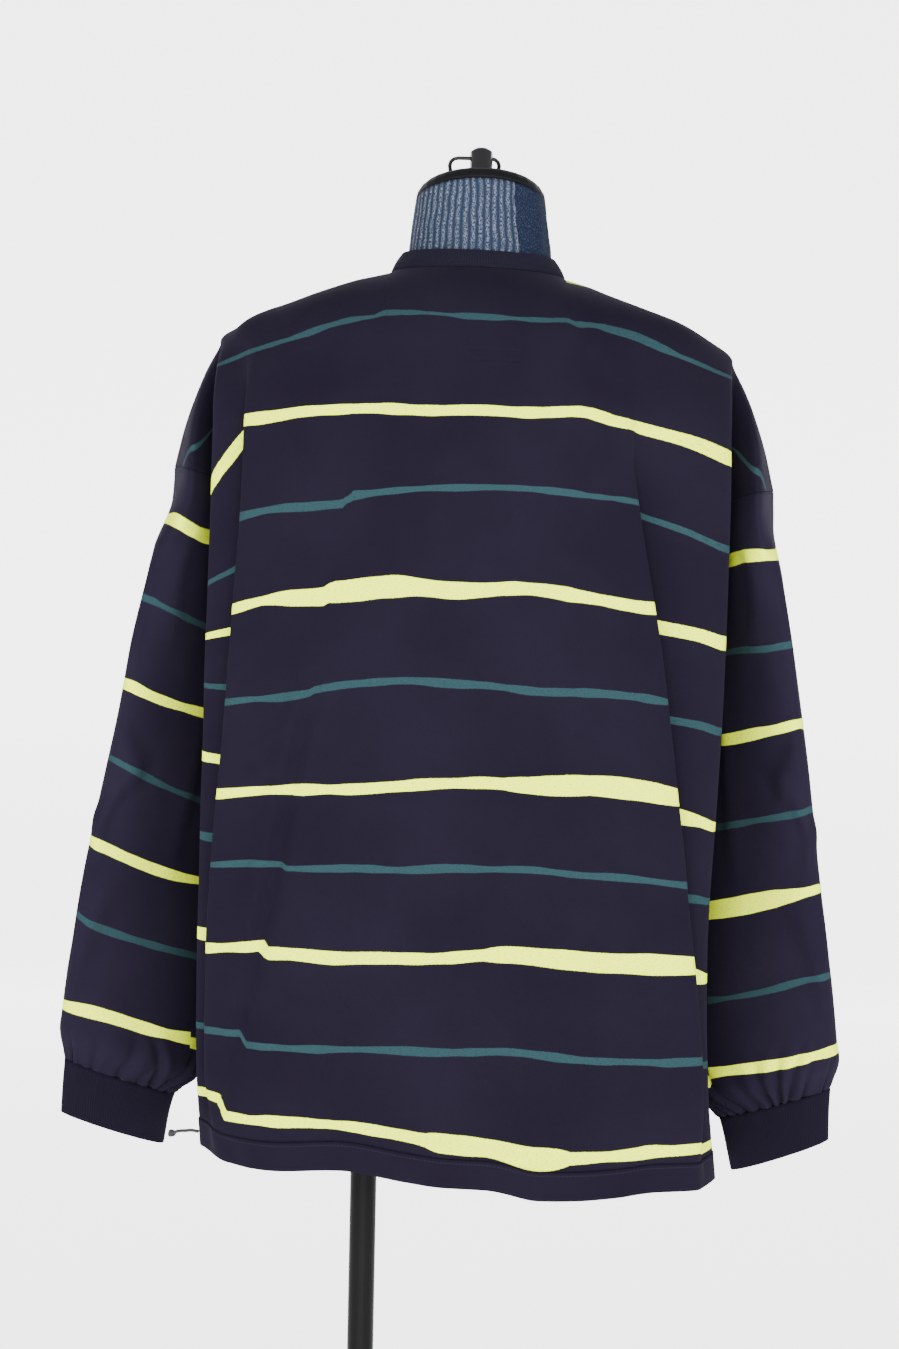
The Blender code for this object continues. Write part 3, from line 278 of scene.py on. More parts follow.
def table(columns, *rows):
    """A table with named columns, whose rows run down the garment."""
    return {name: np.array([row[i] for row in rows], dtype=float) for i, name in enumerate(columns.split())}


def read(tab, column, height, key="height"):
    """A column's smooth value at any heights, with no overshoot between rows."""
    x, y = -tab[key], tab[column]
    at = np.clip(-np.asarray(height, dtype=float), x[0], x[-1])
    step = np.diff(x)
    slope = np.diff(y) / step
    tangent = np.zeros_like(y)
    tangent[0], tangent[-1] = slope[0], slope[-1]
    for i in range(1, len(y) - 1):
        if slope[i - 1] * slope[i] > 0:
            tangent[i] = 2 * slope[i - 1] * slope[i] / (slope[i - 1] + slope[i])
    i = np.clip(np.searchsorted(x, at, side="right") - 1, 0, len(x) - 2)
    t = (at - x[i]) / step[i]
    return (y[i] * (1 + 2 * t) * (1 - t) ** 2 + tangent[i] * step[i] * t * (1 - t) ** 2
            + y[i + 1] * t * t * (3 - 2 * t) + tangent[i + 1] * step[i] * t * t * (t - 1))


# The shoulder seam, seen from behind, in millimetres out from the shirt's middle and up.
SHOULDER = table("out height", (75, 1455), (97, 1449.5), (128, 1437), (155, 1424.5), (175, 1414), (192, 1406),
                 (215, 1397), (223, 1393))

# Lines that run down the cloth, each given at one of these sets of heights. Those of the dropped
# shoulder end at the armhole.
LINE_HEIGHTS = ((1385, 1362, 1334, 1305, 1265), (1385, 1334, 1265, 1100, 865, 685),
                (1385, 1334, 1265, 1100, 865, 760, 685), (1385, 1334, 1305, 1265, 1100, 865, 760, 685),
                (1385, 1362, 1334, 1305, 1265, 1100, 865, 760, 685),
                (1385, 1362, 1334, 1305, 1265, 1235, 1100, 865, 760, 685))


def fall_line(outs, backs):
    """How far out and how far back a line lies, at the set of heights with as many places."""
    heights = next(heights for heights in LINE_HEIGHTS if len(heights) == len(outs))
    return table("height out back", *zip(heights, outs, backs))


DROPPED_LINES = {
    "ridge": fall_line((224.5, 236, 246, 254, 262), (0, 0, 0, 0, 0)),
    "cap": fall_line((223.6, 229, 235, 239, 241), (11, 38, 62, 76, 85)),
    "cap_inner": fall_line((222.8, 223, 224, 224, 224), (17, 41, 53, 50, 45)),
    "lip_outer": fall_line((222.3, 220.5, 218.5, 218, 218.5), (20, 41, 46, 37, 9)),
}
LIFT_START = 215.0      # past this the dropped shoulders' rows rise outward
LIFT = table("height rise", (1385, 0), (1340, 0.10), (1300, 0.20), (1265, 0.28))

BACK_LEFT = {
    "pit": fall_line((221.8, 218, 215.5, 214.5, 214.5, 210, 207, 206, 209, 214),
                     (24, 40, 42, 32, 1.6, 0, 0, 0, 0, 0)),
    "lip": fall_line((221.3, 216.5, 213, 211.5, 211, 209.5, 206, 206, 210, 215),
                     (28, 45, 47, 38, 10, 16, 16, 16, 16, 16)),
    "side": fall_line((220.8, 217.5, 215, 213.5, 213, 210, 212, 216, 219), (34, 58, 70, 68, 62, 60, 58, 50, 42)),
    "curtain": fall_line((218, 221, 222, 221, 221, 224, 227, 226, 222), (47, 74, 92, 100, 104, 104, 98, 88, 68)),
    "valley": fall_line((201, 197, 193, 188, 186, 195, 212, 213, 212), (78, 94, 106, 113, 117, 121, 119, 110, 90)),
    "fold": fall_line((185, 189, 192, 193.5, 194, 203, 218, 217, 200), (93, 107, 121, 129, 134, 138, 134, 124, 110)),
    "blade": fall_line((145, 148, 152, 158, 168, 160), (112, 131, 143, 147, 148, 135)),
    "neck": fall_line((88, 88, 88, 90, 100, 98), (122, 138, 147, 150, 153, 148)),
}
BACK_RIGHT = {
    "pit": fall_line((221.8, 218, 215.5, 214.5, 214.5, 209, 203, 192, 198, 208),
                     (24, 40, 42, 32, 1.6, 0, 0, 0, 0, 0)),
    "lip": fall_line((221.3, 216.5, 213, 211.5, 211, 208.5, 203, 192, 199, 209),
                     (28, 45, 47, 38, 10, 16, 16, 16, 16, 16)),
    "side": fall_line((220.8, 216.5, 213, 210.5, 209, 204, 194, 201, 211), (34, 58, 70, 68, 62, 60, 58, 50, 42)),
    "curtain": fall_line((218, 217, 216, 215, 215, 212.5, 204, 208, 216), (47, 74, 92, 100, 104, 104, 99, 88, 68)),
    "blade": fall_line((182, 182, 181, 193, 195, 203, 212), (95, 114, 119, 117, 110, 101, 84)),
    "valley": fall_line((137, 136, 133, 131, 154, 183, 195, 206), (113, 128, 129, 127, 126, 119, 112, 97)),
    "fold": fall_line((115, 123, 127, 134, 162, 192, 201, 196), (118, 134, 139, 142, 144, 137, 126, 112)),
    "neck": fall_line((82, 82, 84, 95, 108, 104), (123, 138, 147, 150, 152, 147)),
}
FRONT_SIDE = {
    "pit": BACK_RIGHT["pit"],
    "lip": fall_line((221.3, 216.5, 213, 211.5, 211, 208, 202, 192, 199, 209),
                     (28, 45, 47, 38, 10, 16, 16, 16, 16, 16)),
    "side": fall_line((220.5, 216, 211, 208, 207, 200, 192, 199, 210), (34, 58, 68, 66, 60, 60, 58, 50, 42)),
    "curtain": fall_line((217, 215, 211, 208, 206, 202, 195, 202, 212), (46, 72, 90, 98, 102, 104, 98, 88, 68)),
    "valley": fall_line((198, 190, 182, 176, 172, 168, 175, 186, 200), (76, 92, 102, 108, 111, 114, 110, 104, 88)),
    "fold": fall_line((184, 184, 184, 182, 180, 177, 184, 190, 186), (88, 104, 118, 125, 129, 131, 126, 117, 105)),
    "blade": fall_line((146, 146, 146, 144, 150, 150), (100, 126, 138, 138, 138, 128)),
    "neck": fall_line((92, 92, 88, 84, 86, 88), (98, 126, 138, 138, 139, 134)),
}
FRONT_LEFT = FRONT_SIDE | {
    "pit": BACK_LEFT["pit"],
    "lip": BACK_LEFT["lip"],
    "side": fall_line((220.5, 216, 212, 210, 209, 204, 203, 208, 216), (34, 58, 68, 66, 60, 60, 58, 50, 42)),
    "curtain": fall_line((217, 215, 211, 208, 206, 203, 201, 206, 214), (46, 72, 90, 98, 102, 104, 98, 88, 68)),
}
FRONT_RIGHT = FRONT_SIDE | {
    "blade": fall_line((182, 182, 176, 178, 180, 188, 198), (90, 112, 120, 119, 112, 104, 90)),
    "valley": fall_line((137, 137, 133, 143, 160, 170, 177), (103, 122, 126, 121, 117, 113, 106)),
    "fold": fall_line((115, 123, 129, 147, 167, 173, 164), (105, 129, 139, 137, 133, 126, 121)),
}
BACK_MIDDLE = fall_line((0, 0, 0, 0, 0, 0), (127, 140, 147, 149, 152, 150))
FRONT_MIDDLE = table("height out back", (1335, 0, 128), (1305, 0, 137), (1265, 0, 143), (1100, 0, 139),
                     (865, 0, 138), (685, 0, 140))

PANEL_LINES = {(False, -1): BACK_LEFT, (False, 1): BACK_RIGHT, (True, -1): FRONT_LEFT, (True, 1): FRONT_RIGHT}

# The hem isn't level: how much higher than its nominal height it hangs, from right to left.
HEM_WAVE = table("across back front", (214, 1, 1), (206, -1.5, -1.5), (198, -3.5, -3.5), (165, -3.5, -2),
                 (131, -7.5, 1), (98, -10.5, 3), (65, -11.5, 2), (20, -4.5, -3), (-15, -4, -6), (-50, 0, -5),
                 (-100, 6.5, -1), (-165, 2, 4), (-198, 4.5, 4.5), (-208, 7.5, 7.5), (-219, 11, 11))
HEM_WAVE_START = 880.0  # it grows from here down to the casing

# Where each line leaves the neckline and shoulder seam: 0 is the middle of the neck, 1 the
# shoulder seam's start and 2 the shoulder tip; and how many strips of cloth lie up to the next.
DROPPED = (("ridge", 2.00, 16), ("cap", 1.98, 12), ("cap_inner", 1.96, 8), ("lip_outer", 1.945, 6))
LEFT_LINES = DROPPED + (("pit", 1.93, 4), ("lip", 1.91, 4), ("side", 1.87, 8), ("curtain", 1.78, 12),
                        ("valley", 1.62, 6), ("fold", 1.50, 12), ("blade", 1.28, 16), ("neck", 1.00, 24))
RIGHT_LINES = DROPPED + (("pit", 1.93, 4), ("lip", 1.91, 4), ("side", 1.87, 8), ("curtain", 1.78, 8),
                         ("blade", 1.52, 12), ("valley", 1.30, 6), ("fold", 1.16, 14), ("neck", 1.00, 24))


def world(out, back, height, side):
    """World place, in millimetres, of points of the shirt. `side` is -1 left and +1 right."""
    offset = side * np.asarray(out, dtype=float)
    return np.stack([SHIRT_X + offset, -np.asarray(back, dtype=float) + 0 * offset,
                     np.asarray(height, dtype=float) - SHOULDER_DROP * offset], axis=-1)


def unit(v):
    """Vectors of length one."""
    return v / np.maximum(np.linalg.norm(v, axis=-1, keepdims=True), 1e-9)


def spline(points, counts):
    """Smooth curves through points [line][row], with counts[i] steps from line i to the next."""
    p = np.concatenate([2 * points[:1] - points[1:2], points, 2 * points[-1:] - points[-2:-1]])
    knots = np.sqrt(np.maximum(np.linalg.norm(np.diff(p, axis=0), axis=-1, keepdims=True), 1e-6))
    made = []
    for i, count in enumerate(counts):
        p0, p1, p2, p3 = p[i:i + 4]
        d0, d1, d2 = knots[i:i + 3]
        m1 = ((p1 - p0) / d0 - (p2 - p0) / (d0 + d1) + (p2 - p1) / d1) * d1
        m2 = ((p2 - p1) / d1 - (p3 - p1) / (d1 + d2) + (p3 - p2) / d2) * d1
        t = (np.arange(count) / count).reshape(-1, 1, 1)
        made.append((2 * t ** 3 - 3 * t ** 2 + 1) * p1 + (t ** 3 - 2 * t ** 2 + t) * m1
                    + (3 * t ** 2 - 2 * t ** 3) * p2 + (t ** 3 - t ** 2) * m2)
    return np.concatenate(made + [points[-1:]])


def top_edge(place, front, side):
    """A point of the neckline (place 0 to 1) or of the shoulder seam (place 1 to 2)."""
    if place >= 1:
        out = (place - 1) * (SHOULDER_OUT - NECK_OUT) + NECK_OUT
        return world(out, NECK_SEAT * (2 - place) ** 2, np.interp(out, SHOULDER["out"], SHOULDER["height"]), side)
    turn = place * math.pi / 2
    forward = math.cos(turn)
    if front:
        back = NECK_SEAT - (NECK_SEAT + NECK_FRONT) * forward
        height = NECK_SIDE_HEIGHT - NECK_FRONT_DIP * forward ** 1.3
    else:
        back = NECK_SEAT + (NECK_BACK - NECK_SEAT) * forward
        height = NECK_SIDE_HEIGHT
    return world(NECK_OUT * math.sin(turn), back, height, side)


def cloth_line(name, front, side, heights):
    """The places of one of the cloth's lines at its nominal heights."""
    if name == "middle":
        tab = FRONT_MIDDLE if front else BACK_MIDDLE
    elif name in DROPPED_LINES:
        tab = DROPPED_LINES[name]
    else:
        tab = PANEL_LINES[(front, side)][name]
    out, back = read(tab, "out", heights), read(tab, "back", heights)
    if name in ("ridge", "pit"):
        back = np.maximum(back, SEAM / 2)
    lift = np.where(heights >= ARMHOLE_LEVEL, np.maximum(out - LIFT_START, 0) * read(LIFT, "rise", heights), 0)
    return world(out, -back if front else back, heights + lift, side)


LINES = [(name, place, -1, count) for name, place, count in LEFT_LINES] + [("middle", 0.0, 1, 0)]
LINES += [(name, place, 1, count) for name, place, count in RIGHT_LINES[::-1]]
COUNTS = [line[3] for line in LINES[:len(LEFT_LINES)] + LINES[len(LEFT_LINES) + 1:]]
COLUMN_SIDE = np.repeat([-1, 1], [sum(COUNTS[:len(LEFT_LINES)]), sum(COUNTS[len(LEFT_LINES):]) + 1])
PLACES = np.concatenate([start[1] + (end[1] - start[1]) * np.arange(count) / count
                         for start, end, count in zip(LINES, LINES[1:], COUNTS)] + [[LINES[-1][1]]])
DROPPED_FACETS = sum(line[2] for line in DROPPED)


def section(front, heights):
    """Sections of a panel at each line's own heights, as [column][row]."""
    return spline(np.array([cloth_line(line[0], front, line[2], h) for line, h in zip(LINES, heights)]), COUNTS)


def level_section(front, heights):
    """Sections of a panel at nominal heights, down to the hem with its wave, as [column][row]."""
    heights = np.asarray(heights, dtype=float)
    made = section(front, [heights] * len(LINES))
    share = np.clip((HEM_WAVE_START - heights) / (HEM_WAVE_START - HEM_LEVEL - CASING), 0, 1)
    rise = read(HEM_WAVE, "front" if front else "back", made[..., 0] - SHIRT_X, "across")
    made[..., 2] += share ** 2 * rise
    return made


def panel_grid(front):
    """Points of the front or the back, [row][column], and each row's nominal height on each column."""
    dip = SECTION_TOP - CHEST_TOP if front else 0.0
    starts = np.array([SECTION_TOP - dip * np.clip((1.75 - place) / 0.75, 0, 1) for _, place, _, _ in LINES])
    steps = np.linspace(0, 1, ARMHOLE_ROWS + 1)
    upper_body = section(front, [start + (ARMHOLE_LEVEL - start) * steps for start in starts])
    ahead = section(front, [np.array([start - 2.0]) for start in starts])[:, 0]
    lower_heights = np.linspace(ARMHOLE_LEVEL, HEM_LEVEL + CASING + SEAM, LOWER_ROWS + 1)[1:]
    lower_body = level_section(front, lower_heights)
    first = upper_body[:, 0]
    edge = np.array([top_edge(place, front, side) for place, side in zip(PLACES, COLUMN_SIDE)])
    edge[PLACES >= 1, 1] += SEAM / 2 if front else -SEAM / 2
    heading = unit(ahead - first)
    chord = first - edge
    length = np.linalg.norm(chord, axis=1, keepdims=True)
    p1 = edge + unit(chord * np.array([1, 1, 0.35])) * length * 0.40
    p2 = first - heading * length * 0.36
    w = np.linspace(0, 1, UPPER_ROWS + 1)[:-1].reshape(-1, 1, 1)
    loft = edge * (1 - w) ** 3 + 3 * p1 * w * (1 - w) ** 2 + 3 * p2 * w * w * (1 - w) + first * w ** 3
    grid = np.concatenate([loft, upper_body.swapaxes(0, 1), lower_body.swapaxes(0, 1)])
    column_starts = np.interp(np.arange(len(PLACES)), np.concatenate([[0], np.cumsum(COUNTS)]), starts)
    nominal = np.concatenate([np.repeat(column_starts[None], UPPER_ROWS, 0),
                              column_starts + (ARMHOLE_LEVEL - column_starts) * steps[:, None],
                              np.repeat(lower_heights[:, None], len(PLACES), 1)])
    return grid, nominal


def normals_of(grid, outward, closed=False):
    """Unit normals of a grid of points, on the side to which `outward` mostly points."""
    down = np.gradient(grid, axis=0)
    across = np.roll(grid, -1, 1) - np.roll(grid, 1, 1) if closed else np.gradient(grid, axis=1)
    made = unit(np.cross(across, down))
    return made if np.sum(made * outward) > 0 else -made


# Stripe levels from the hem up, every other one teal and then yellow, as heights on the back's
# middle. The cloth's second coordinate counts them, STRIPE metres each. The level tables give how
# much the cloth falls to the side, and how far it is shifted behind the fold and beyond its valley.
STRIPE, STRIPE_MM = 0.077, 77
BODY_STRIPES = (643, 719, 795, 875, 947, 1017, 1099, 1181, 1260, 1328, 1403, 1480, 1557)
LEFT_LEVELS = table("height fall inner outer", (1385, 46, 0, 2), (1365, 42, 0, 4), (1345, 34, 0, 10),
                    (1313, 20, 0, 26), (1240, 30, 16, 38), (1190, 34, 33, 49), (1132, 34, 14, 17),
                    (1088, 27, -10, -22), (1030, 20, -26, -35), (950, 14, -18, -22), (850, 10, -6, -8),
                    (760, -2, 0, 0), (685, -14, 2, 2))
RIGHT_LEVELS = table("height fall inner outer", (1385, 30, 0, 6), (1330, 20, 1, 6), (1265, 22, 4, 16),
                     (1180, 14, 15, 24), (1099, 14, 14, 22), (1017, 6, 14, 23), (947, 8, 13, 20), (800, 1, 8, 11),
                     (685, -10, 3, 2))
TUCK = table("height across step recess", (1320, -96, 0, 0), (1262, -103, -6, 1), (1190, -118, -4, 1.5),
             (1090, -132, -2, 2.5), (1018, -142, 0, 4), (945, -152, 3, 6), (878, -166, 6, 8), (806, -182, 10, 10),
             (740, -199, 14, 11), (685, -210, 15, 11))


def stripe_level(heights, levels, first=2):
    """The cloth's second coordinate, in metres, at heights between stripe levels."""
    ends = np.array(levels, dtype=float)
    count = np.arange(first, first + len(ends))
    made = np.interp(heights, ends, count)
    made = np.where(heights > ends[-1], count[-1] + (heights - ends[-1]) / STRIPE_MM, made)
    return np.where(heights < ends[0], count[0] + (heights - ends[0]) / STRIPE_MM, made) * STRIPE


def along(grid, axis):
    """Length along a grid's rows or columns, from its start, in millimetres."""
    steps = np.linalg.norm(np.diff(grid, axis=axis), axis=-1)
    pad = [(1, 0), (0, 0)] if axis == 0 else [(0, 0), (1, 0)]
    return np.cumsum(np.pad(steps, pad), axis=axis)


def past_tuck(grid, nominal, soft):
    """Whether points of the back lie past its long tuck, as a share that changes over a soft width."""
    return 1 / (1 + np.exp(np.clip((grid[..., 0] - SHIRT_X - read(TUCK, "across", nominal)) / soft, -30, 30)))


def panel_levels(grid, nominal, front):
    """Heights on the flat cloth for every point of a panel."""
    out = np.abs(grid[..., 0] - SHIRT_X)
    level = nominal.copy()
    for side, levels, fold, valley, edge in ((-1, LEFT_LEVELS, 1.50, 1.60, 1.80),
                                             (1, RIGHT_LEVELS, 1.16, 1.28, 1.70)):
        fall, inner, outer = (read(levels, column, nominal) for column in ("fall", "inner", "outer"))
        behind = np.clip((PLACES - fold) / (valley - fold), 0, 1) * inner
        beyond = np.clip((PLACES - valley) / (edge - valley), 0, 1) * (outer - inner)
        level = level + np.where(COLUMN_SIDE == side, fall * (out / 220) ** 2.1 + behind + beyond, 0)
    if not front:
        level = level - past_tuck(grid, nominal, 0.7) * read(TUCK, "step", nominal)
    # the dropped shoulders hang from their ridge, so there the level falls away from it
    width = along(grid, 1)
    from_ridge = np.minimum(width, width[:, -1:] - width)
    hanging = np.interp(nominal, (1265, 1320), (1439, 1469)) - from_ridge * 0.6
    share = np.clip((PLACES - 1.91) / 0.035, 0, 1)
    level = level * (1 - share) + hanging * share
    # above the sections the cloth goes on to the seams
    length = along(grid[:UPPER_ROWS + 1], 0)
    length = 1 - length / length[-1:]
    if front:
        cup = np.cos(np.clip(PLACES, 0, 1) * math.pi / 2) ** 1.3
        seam_level = np.where(PLACES < 1, 1487 - 90 * cup, np.interp(PLACES, (1, 1.5, 2), (1487, 1478, 1441)))
    else:
        seam_level = np.interp(PLACES, (0, 0.9, 1, 1.5, 1.7, 2), (1464, 1470, 1486, 1482, 1466, 1441))
    level[:UPPER_ROWS] = level[UPPER_ROWS] + (seam_level - level[UPPER_ROWS]) * length[:UPPER_ROWS]
    return level


def crease(x, z, x0, z0, x1, z1, bow, width, depth, lean):
    """Height of one crease over a surface seen face on: a soft ridge with a trough on one side."""
    run = np.array([x1 - x0, z1 - z0])
    length = math.hypot(*run)
    ahead = run / length
    t = ((x - x0) * ahead[0] + (z - z0) * ahead[1]) / length
    offset = (z - z0) * ahead[0] - (x - x0) * ahead[1] - bow * 4 * t * (1 - t)
    taper = np.clip(t / 0.3, 0, 1) * np.clip((1 - t) / 0.3, 0, 1)
    taper = taper * taper * (3 - 2 * taper) * np.clip(taper * 9, 0, 1)
    across = offset / width
    return depth * taper * (np.exp(-across ** 2) - lean * np.exp(-(across - 1.5) ** 2))


def swell(u, v, seed, size, height):
    """A very soft unevenness, from a few crossing waves."""
    made = 0
    for k in range(5):
        angle, phase = 1.3 * k + seed, 2.1 * k * seed + seed
        made = made + np.sin((u * math.cos(angle) + v * math.sin(angle)) / size * (0.7 + 0.23 * k) + phase)
    return made * height / 5


# Creases, pressed or hanging: from (x0, z0) to (x1, z1), then bow, width, depth and lean.
BACK_CREASES = (
    (-118, 1196, -204, 722, -8, 7, 5.0, 0.55),      # the long slanting tuck
    (-150, 1000, -196, 760, -5, 12, 2.6, 0.3),
    (-128, 1095, -196, 1030, 6, 6, 2.0, 0.5),       # drags under the left fold
    (-136, 1070, -200, 1008, 8, 7, 1.8, 0.5),
    (-120, 822, -119, 700, 1, 3.5, 1.8, 0.7),       # a short pressed crease above the hem
    (-60, 1366, -176, 1330, 12, 16, 2.6, 0.3),      # pulls from the neck to the shoulders
    (56, 1360, 176, 1312, -10, 16, 2.2, 0.3),
    (-150, 1340, -168, 1160, 6, 11, 2.6, 0.4),
    (96, 1330, 118, 1130, -6, 14, 2.4, 0.3),
    (118, 1280, 160, 900, -6, 9, 2.2, 0.5),
    (148, 1120, 182, 840, -4, 8, 2.0, 0.5),
    (60, 1230, 96, 960, -10, 20, 2.0, 0.2),
    (-40, 1150, -76, 860, 10, 22, 2.4, 0.2),
    (20, 980, 46, 716, -8, 24, 2.4, 0.2),
    (110, 900, 124, 705, -4, 14, 2.2, 0.3),
    (-70, 860, -84, 702, 4, 16, 2.0, 0.3),
    (160, 830, 176, 700, 3, 8, 2.2, 0.5),
    (-160, 830, -178, 706, -3, 7, 2.2, 0.6),
    (70, 760, 75, 702, 1, 4, 1.2, 0.5),
    (140, 752, 146, 702, 1, 4, 1.6, 0.5),
    (-20, 752, -24, 702, 1, 5, 1.2, 0.5),
)


def add_creases(grid, normals, creases, columns, across_x=None):
    """Moves a grid's points along their normals by the creases, on the given columns."""
    x = grid[..., 0] - SHIRT_X if across_x is None else across_x
    height = np.zeros(grid.shape[:2])
    for row in creases:
        height += crease(x, grid[..., 2], *row)
    return grid + normals * (height * columns)[..., None]


def panel_mesh(name, grid, first, second, hole_rows=0, joined=False):
    """A mesh over a grid of points, with the cloth's own coordinates as its UV map. It has holes for
    the sleeves below hole_rows, and its meeting edges may be joined."""
    rows, cols = grid.shape[:2]
    made = bmesh.new()
    bmesh.ops.create_grid(made, x_segments=cols - 1, y_segments=rows - 1, size=1.0)
    made.verts.ensure_lookup_table()
    cloth = made.loops.layers.uv.new("cut")
    points = (grid * 0.001).reshape(-1, 3)
    spots = np.stack([first, second], axis=-1).reshape(-1, 2)
    for vert in made.verts:
        vert.co = points[vert.index]
    for face in made.faces:
        for loop in face.loops:
            loop[cloth].uv = spots[loop.vert.index]
    if hole_rows:
        gone = [face for face in made.faces
                if min(vert.index for vert in face.verts) // cols >= hole_rows
                and (max(vert.index % cols for vert in face.verts) <= DROPPED_FACETS
                     or min(vert.index % cols for vert in face.verts) >= cols - 1 - DROPPED_FACETS)]
        bmesh.ops.delete(made, geom=gone, context="FACES")
        bmesh.ops.delete(made, geom=[vert for vert in made.verts if not vert.link_faces], context="VERTS")
    if joined:
        bmesh.ops.remove_doubles(made, verts=made.verts, dist=1e-6)
        bmesh.ops.recalc_face_normals(made, faces=made.faces)
    return mesh_from(name, made)


def cloth_piece(name, mesh, outward, thickness, material):
    """An object for a mesh of cloth, faces outward, with a wall of the cloth's thickness."""
    made = bmesh.new()
    made.from_mesh(mesh)
    made.normal_update()
    if sum(face.normal.dot(outward(face.calc_center_median())) * face.calc_area() for face in made.faces) < 0:
        bmesh.ops.reverse_faces(made, faces=made.faces)
    made.to_mesh(mesh)
    made.free()
    mesh.materials.append(material)
    piece = placed(name, mesh)
    wall = piece.modifiers.new("wall", "SOLIDIFY")
    wall.thickness = thickness
    wall.offset = 0
    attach(piece, BODY)
    return piece


# The jersey: fine knit navy cotton. Its stripes differ in colour, wander a little and swell here
# and there; the yellow is flecked, and all of it has a soft, dry, slightly fuzzy face.
NAVY = (0.0067, 0.0051, 0.0110), (0.0084, 0.0065, 0.0133)


def ripples(tree, value, length):
    """A sine wave of a length in metres."""
    return maths(tree, "SINE", maths(tree, "MULTIPLY", value, 2 * math.pi / length))


def clouds(tree, cut):
    """Where the dye has faded a little, from 0 to 1."""
    return ramp(tree, noise(tree, cut, 9.0, 3.0), 0.3, 0.7)


def dry_face(shader):
    """The soft, dry face of knit cotton."""
    shader.inputs["Specular IOR Level"].default_value = 0.015
    shader.inputs["Sheen Weight"].default_value = 0.022
    shader.inputs["Sheen Roughness"].default_value = 0.55
    shader.inputs["Sheen Tint"].default_value = (0.55, 0.50, 0.75, 1)


def striped_jersey(name, seed, lift=1.0, swells=(), mark=None):
    """Navy jersey with uneven stripes on the cloth's own coordinates, and stitches round a mark. A lift above one
    lightens its navy as painted light.
    """
    made, tree, shader = finish(name, (0.023, 0.019, 0.040), 0.88)
    cut, across, level = cloth_place(tree)
    count = maths(tree, "DIVIDE", level, STRIPE)
    nearest = maths(tree, "ROUND", count)
    yellow = maths(tree, "MODULO", nearest, 2.0)

    def drift(scale, offset, detail=0.0):
        spot = node(tree, "CombineXYZ", {0: maths(tree, "MULTIPLY", across, scale),
                                         1: maths(tree, "MULTIPLY_ADD", nearest, 5.37, seed + offset)}).outputs[0]
        return maths(tree, "SUBTRACT", noise(tree, spot, 1.0, detail), 0.5)

    jitter = maths(tree, "MULTIPLY", drift(14.0, 31.0), 0.005)
    wander = maths(tree, "MULTIPLY_ADD", drift(5.0, 0.0, 1.0), 0.021, jitter)
    off_level = maths(tree, "MULTIPLY", maths(tree, "SUBTRACT", count, nearest), STRIPE)
    away = apart(tree, off_level, wander)
    half = maths(tree, "MULTIPLY_ADD", yellow, 0.0017, 0.0032)
    thick = maths(tree, "SUBTRACT", drift(4.0, 77.0), 0.16, clamp=True)
    half = maths(tree, "MULTIPLY_ADD", maths(tree, "MULTIPLY", thick, yellow), 0.030, half)
    half = maths(tree, "MULTIPLY_ADD", drift(23.0, 53.0, 1.0), 0.0034, half)
    half = maths(tree, "MULTIPLY_ADD", maths(tree, "GREATER_THAN", nearest, 11.5), -0.0012, half)
    for number, middle, reach in swells:
        beside = maths(tree, "ABSOLUTE", maths(tree, "DIVIDE", maths(tree, "SUBTRACT", across, middle), reach))
        inside = maths(tree, "SUBTRACT", 1.0, maths(tree, "POWER", beside, 6.0), clamp=True)
        inside = maths(tree, "MULTIPLY", inside, maths(tree, "COMPARE", nearest, number, 0.5))
        half = maths(tree, "MULTIPLY_ADD", inside, 0.0034, half)
    fuzz = threads(tree, cut, 900.0, 900.0, 1.0)
    edge = maths(tree, "SUBTRACT", half, away)
    edge = maths(tree, "MULTIPLY_ADD", maths(tree, "SUBTRACT", fuzz, 0.5), 0.0007, edge)
    stripe = ramp(tree, edge, -0.0003, 0.0003)

    fleck = ramp(tree, threads(tree, cut, 360.0, 1500.0), 0.5, 0.72)
    lemon = blend(tree, fleck, (0.84, 1.0, 0.02), (0.58, 0.74, 0.02))
    teal = blend(tree, fleck, (0.0165, 0.039, 0.045), (0.011, 0.030, 0.036))
    paint = blend(tree, yellow, teal, lemon)
    # lift lightens the navy: on the sleeves it is painted light, standing in for the light their shaded sides don't
    # get
    deep, faded = (tuple(lift * part for part in shade) for shade in NAVY)
    navy = blend(tree, clouds(tree, cut), deep, faded)
    tree.links.new(blend(tree, stripe, navy, paint), shader.inputs["Base Color"])

    loops = maths(tree, "MULTIPLY", ripples(tree, across, 0.0016), ripples(tree, level, 0.0013))
    knit = maths(tree, "ADD", loops, maths(tree, "MULTIPLY", fuzz, 1.6))
    if mark:
        beside, above = (maths(tree, "SUBTRACT", apart(tree, value, middle), reach)
                         for value, (middle, reach) in zip((across, level), mark))
        rim = ramp(tree, maths(tree, "ABSOLUTE", maths(tree, "MAXIMUM", beside, above)), 0.0016, 0.0004)
        knit = maths(tree, "MULTIPLY_ADD", rim, -7.0, knit)
    emboss(tree, shader, knit, 0.22, 0.00035)
    dry_face(shader)
    return made


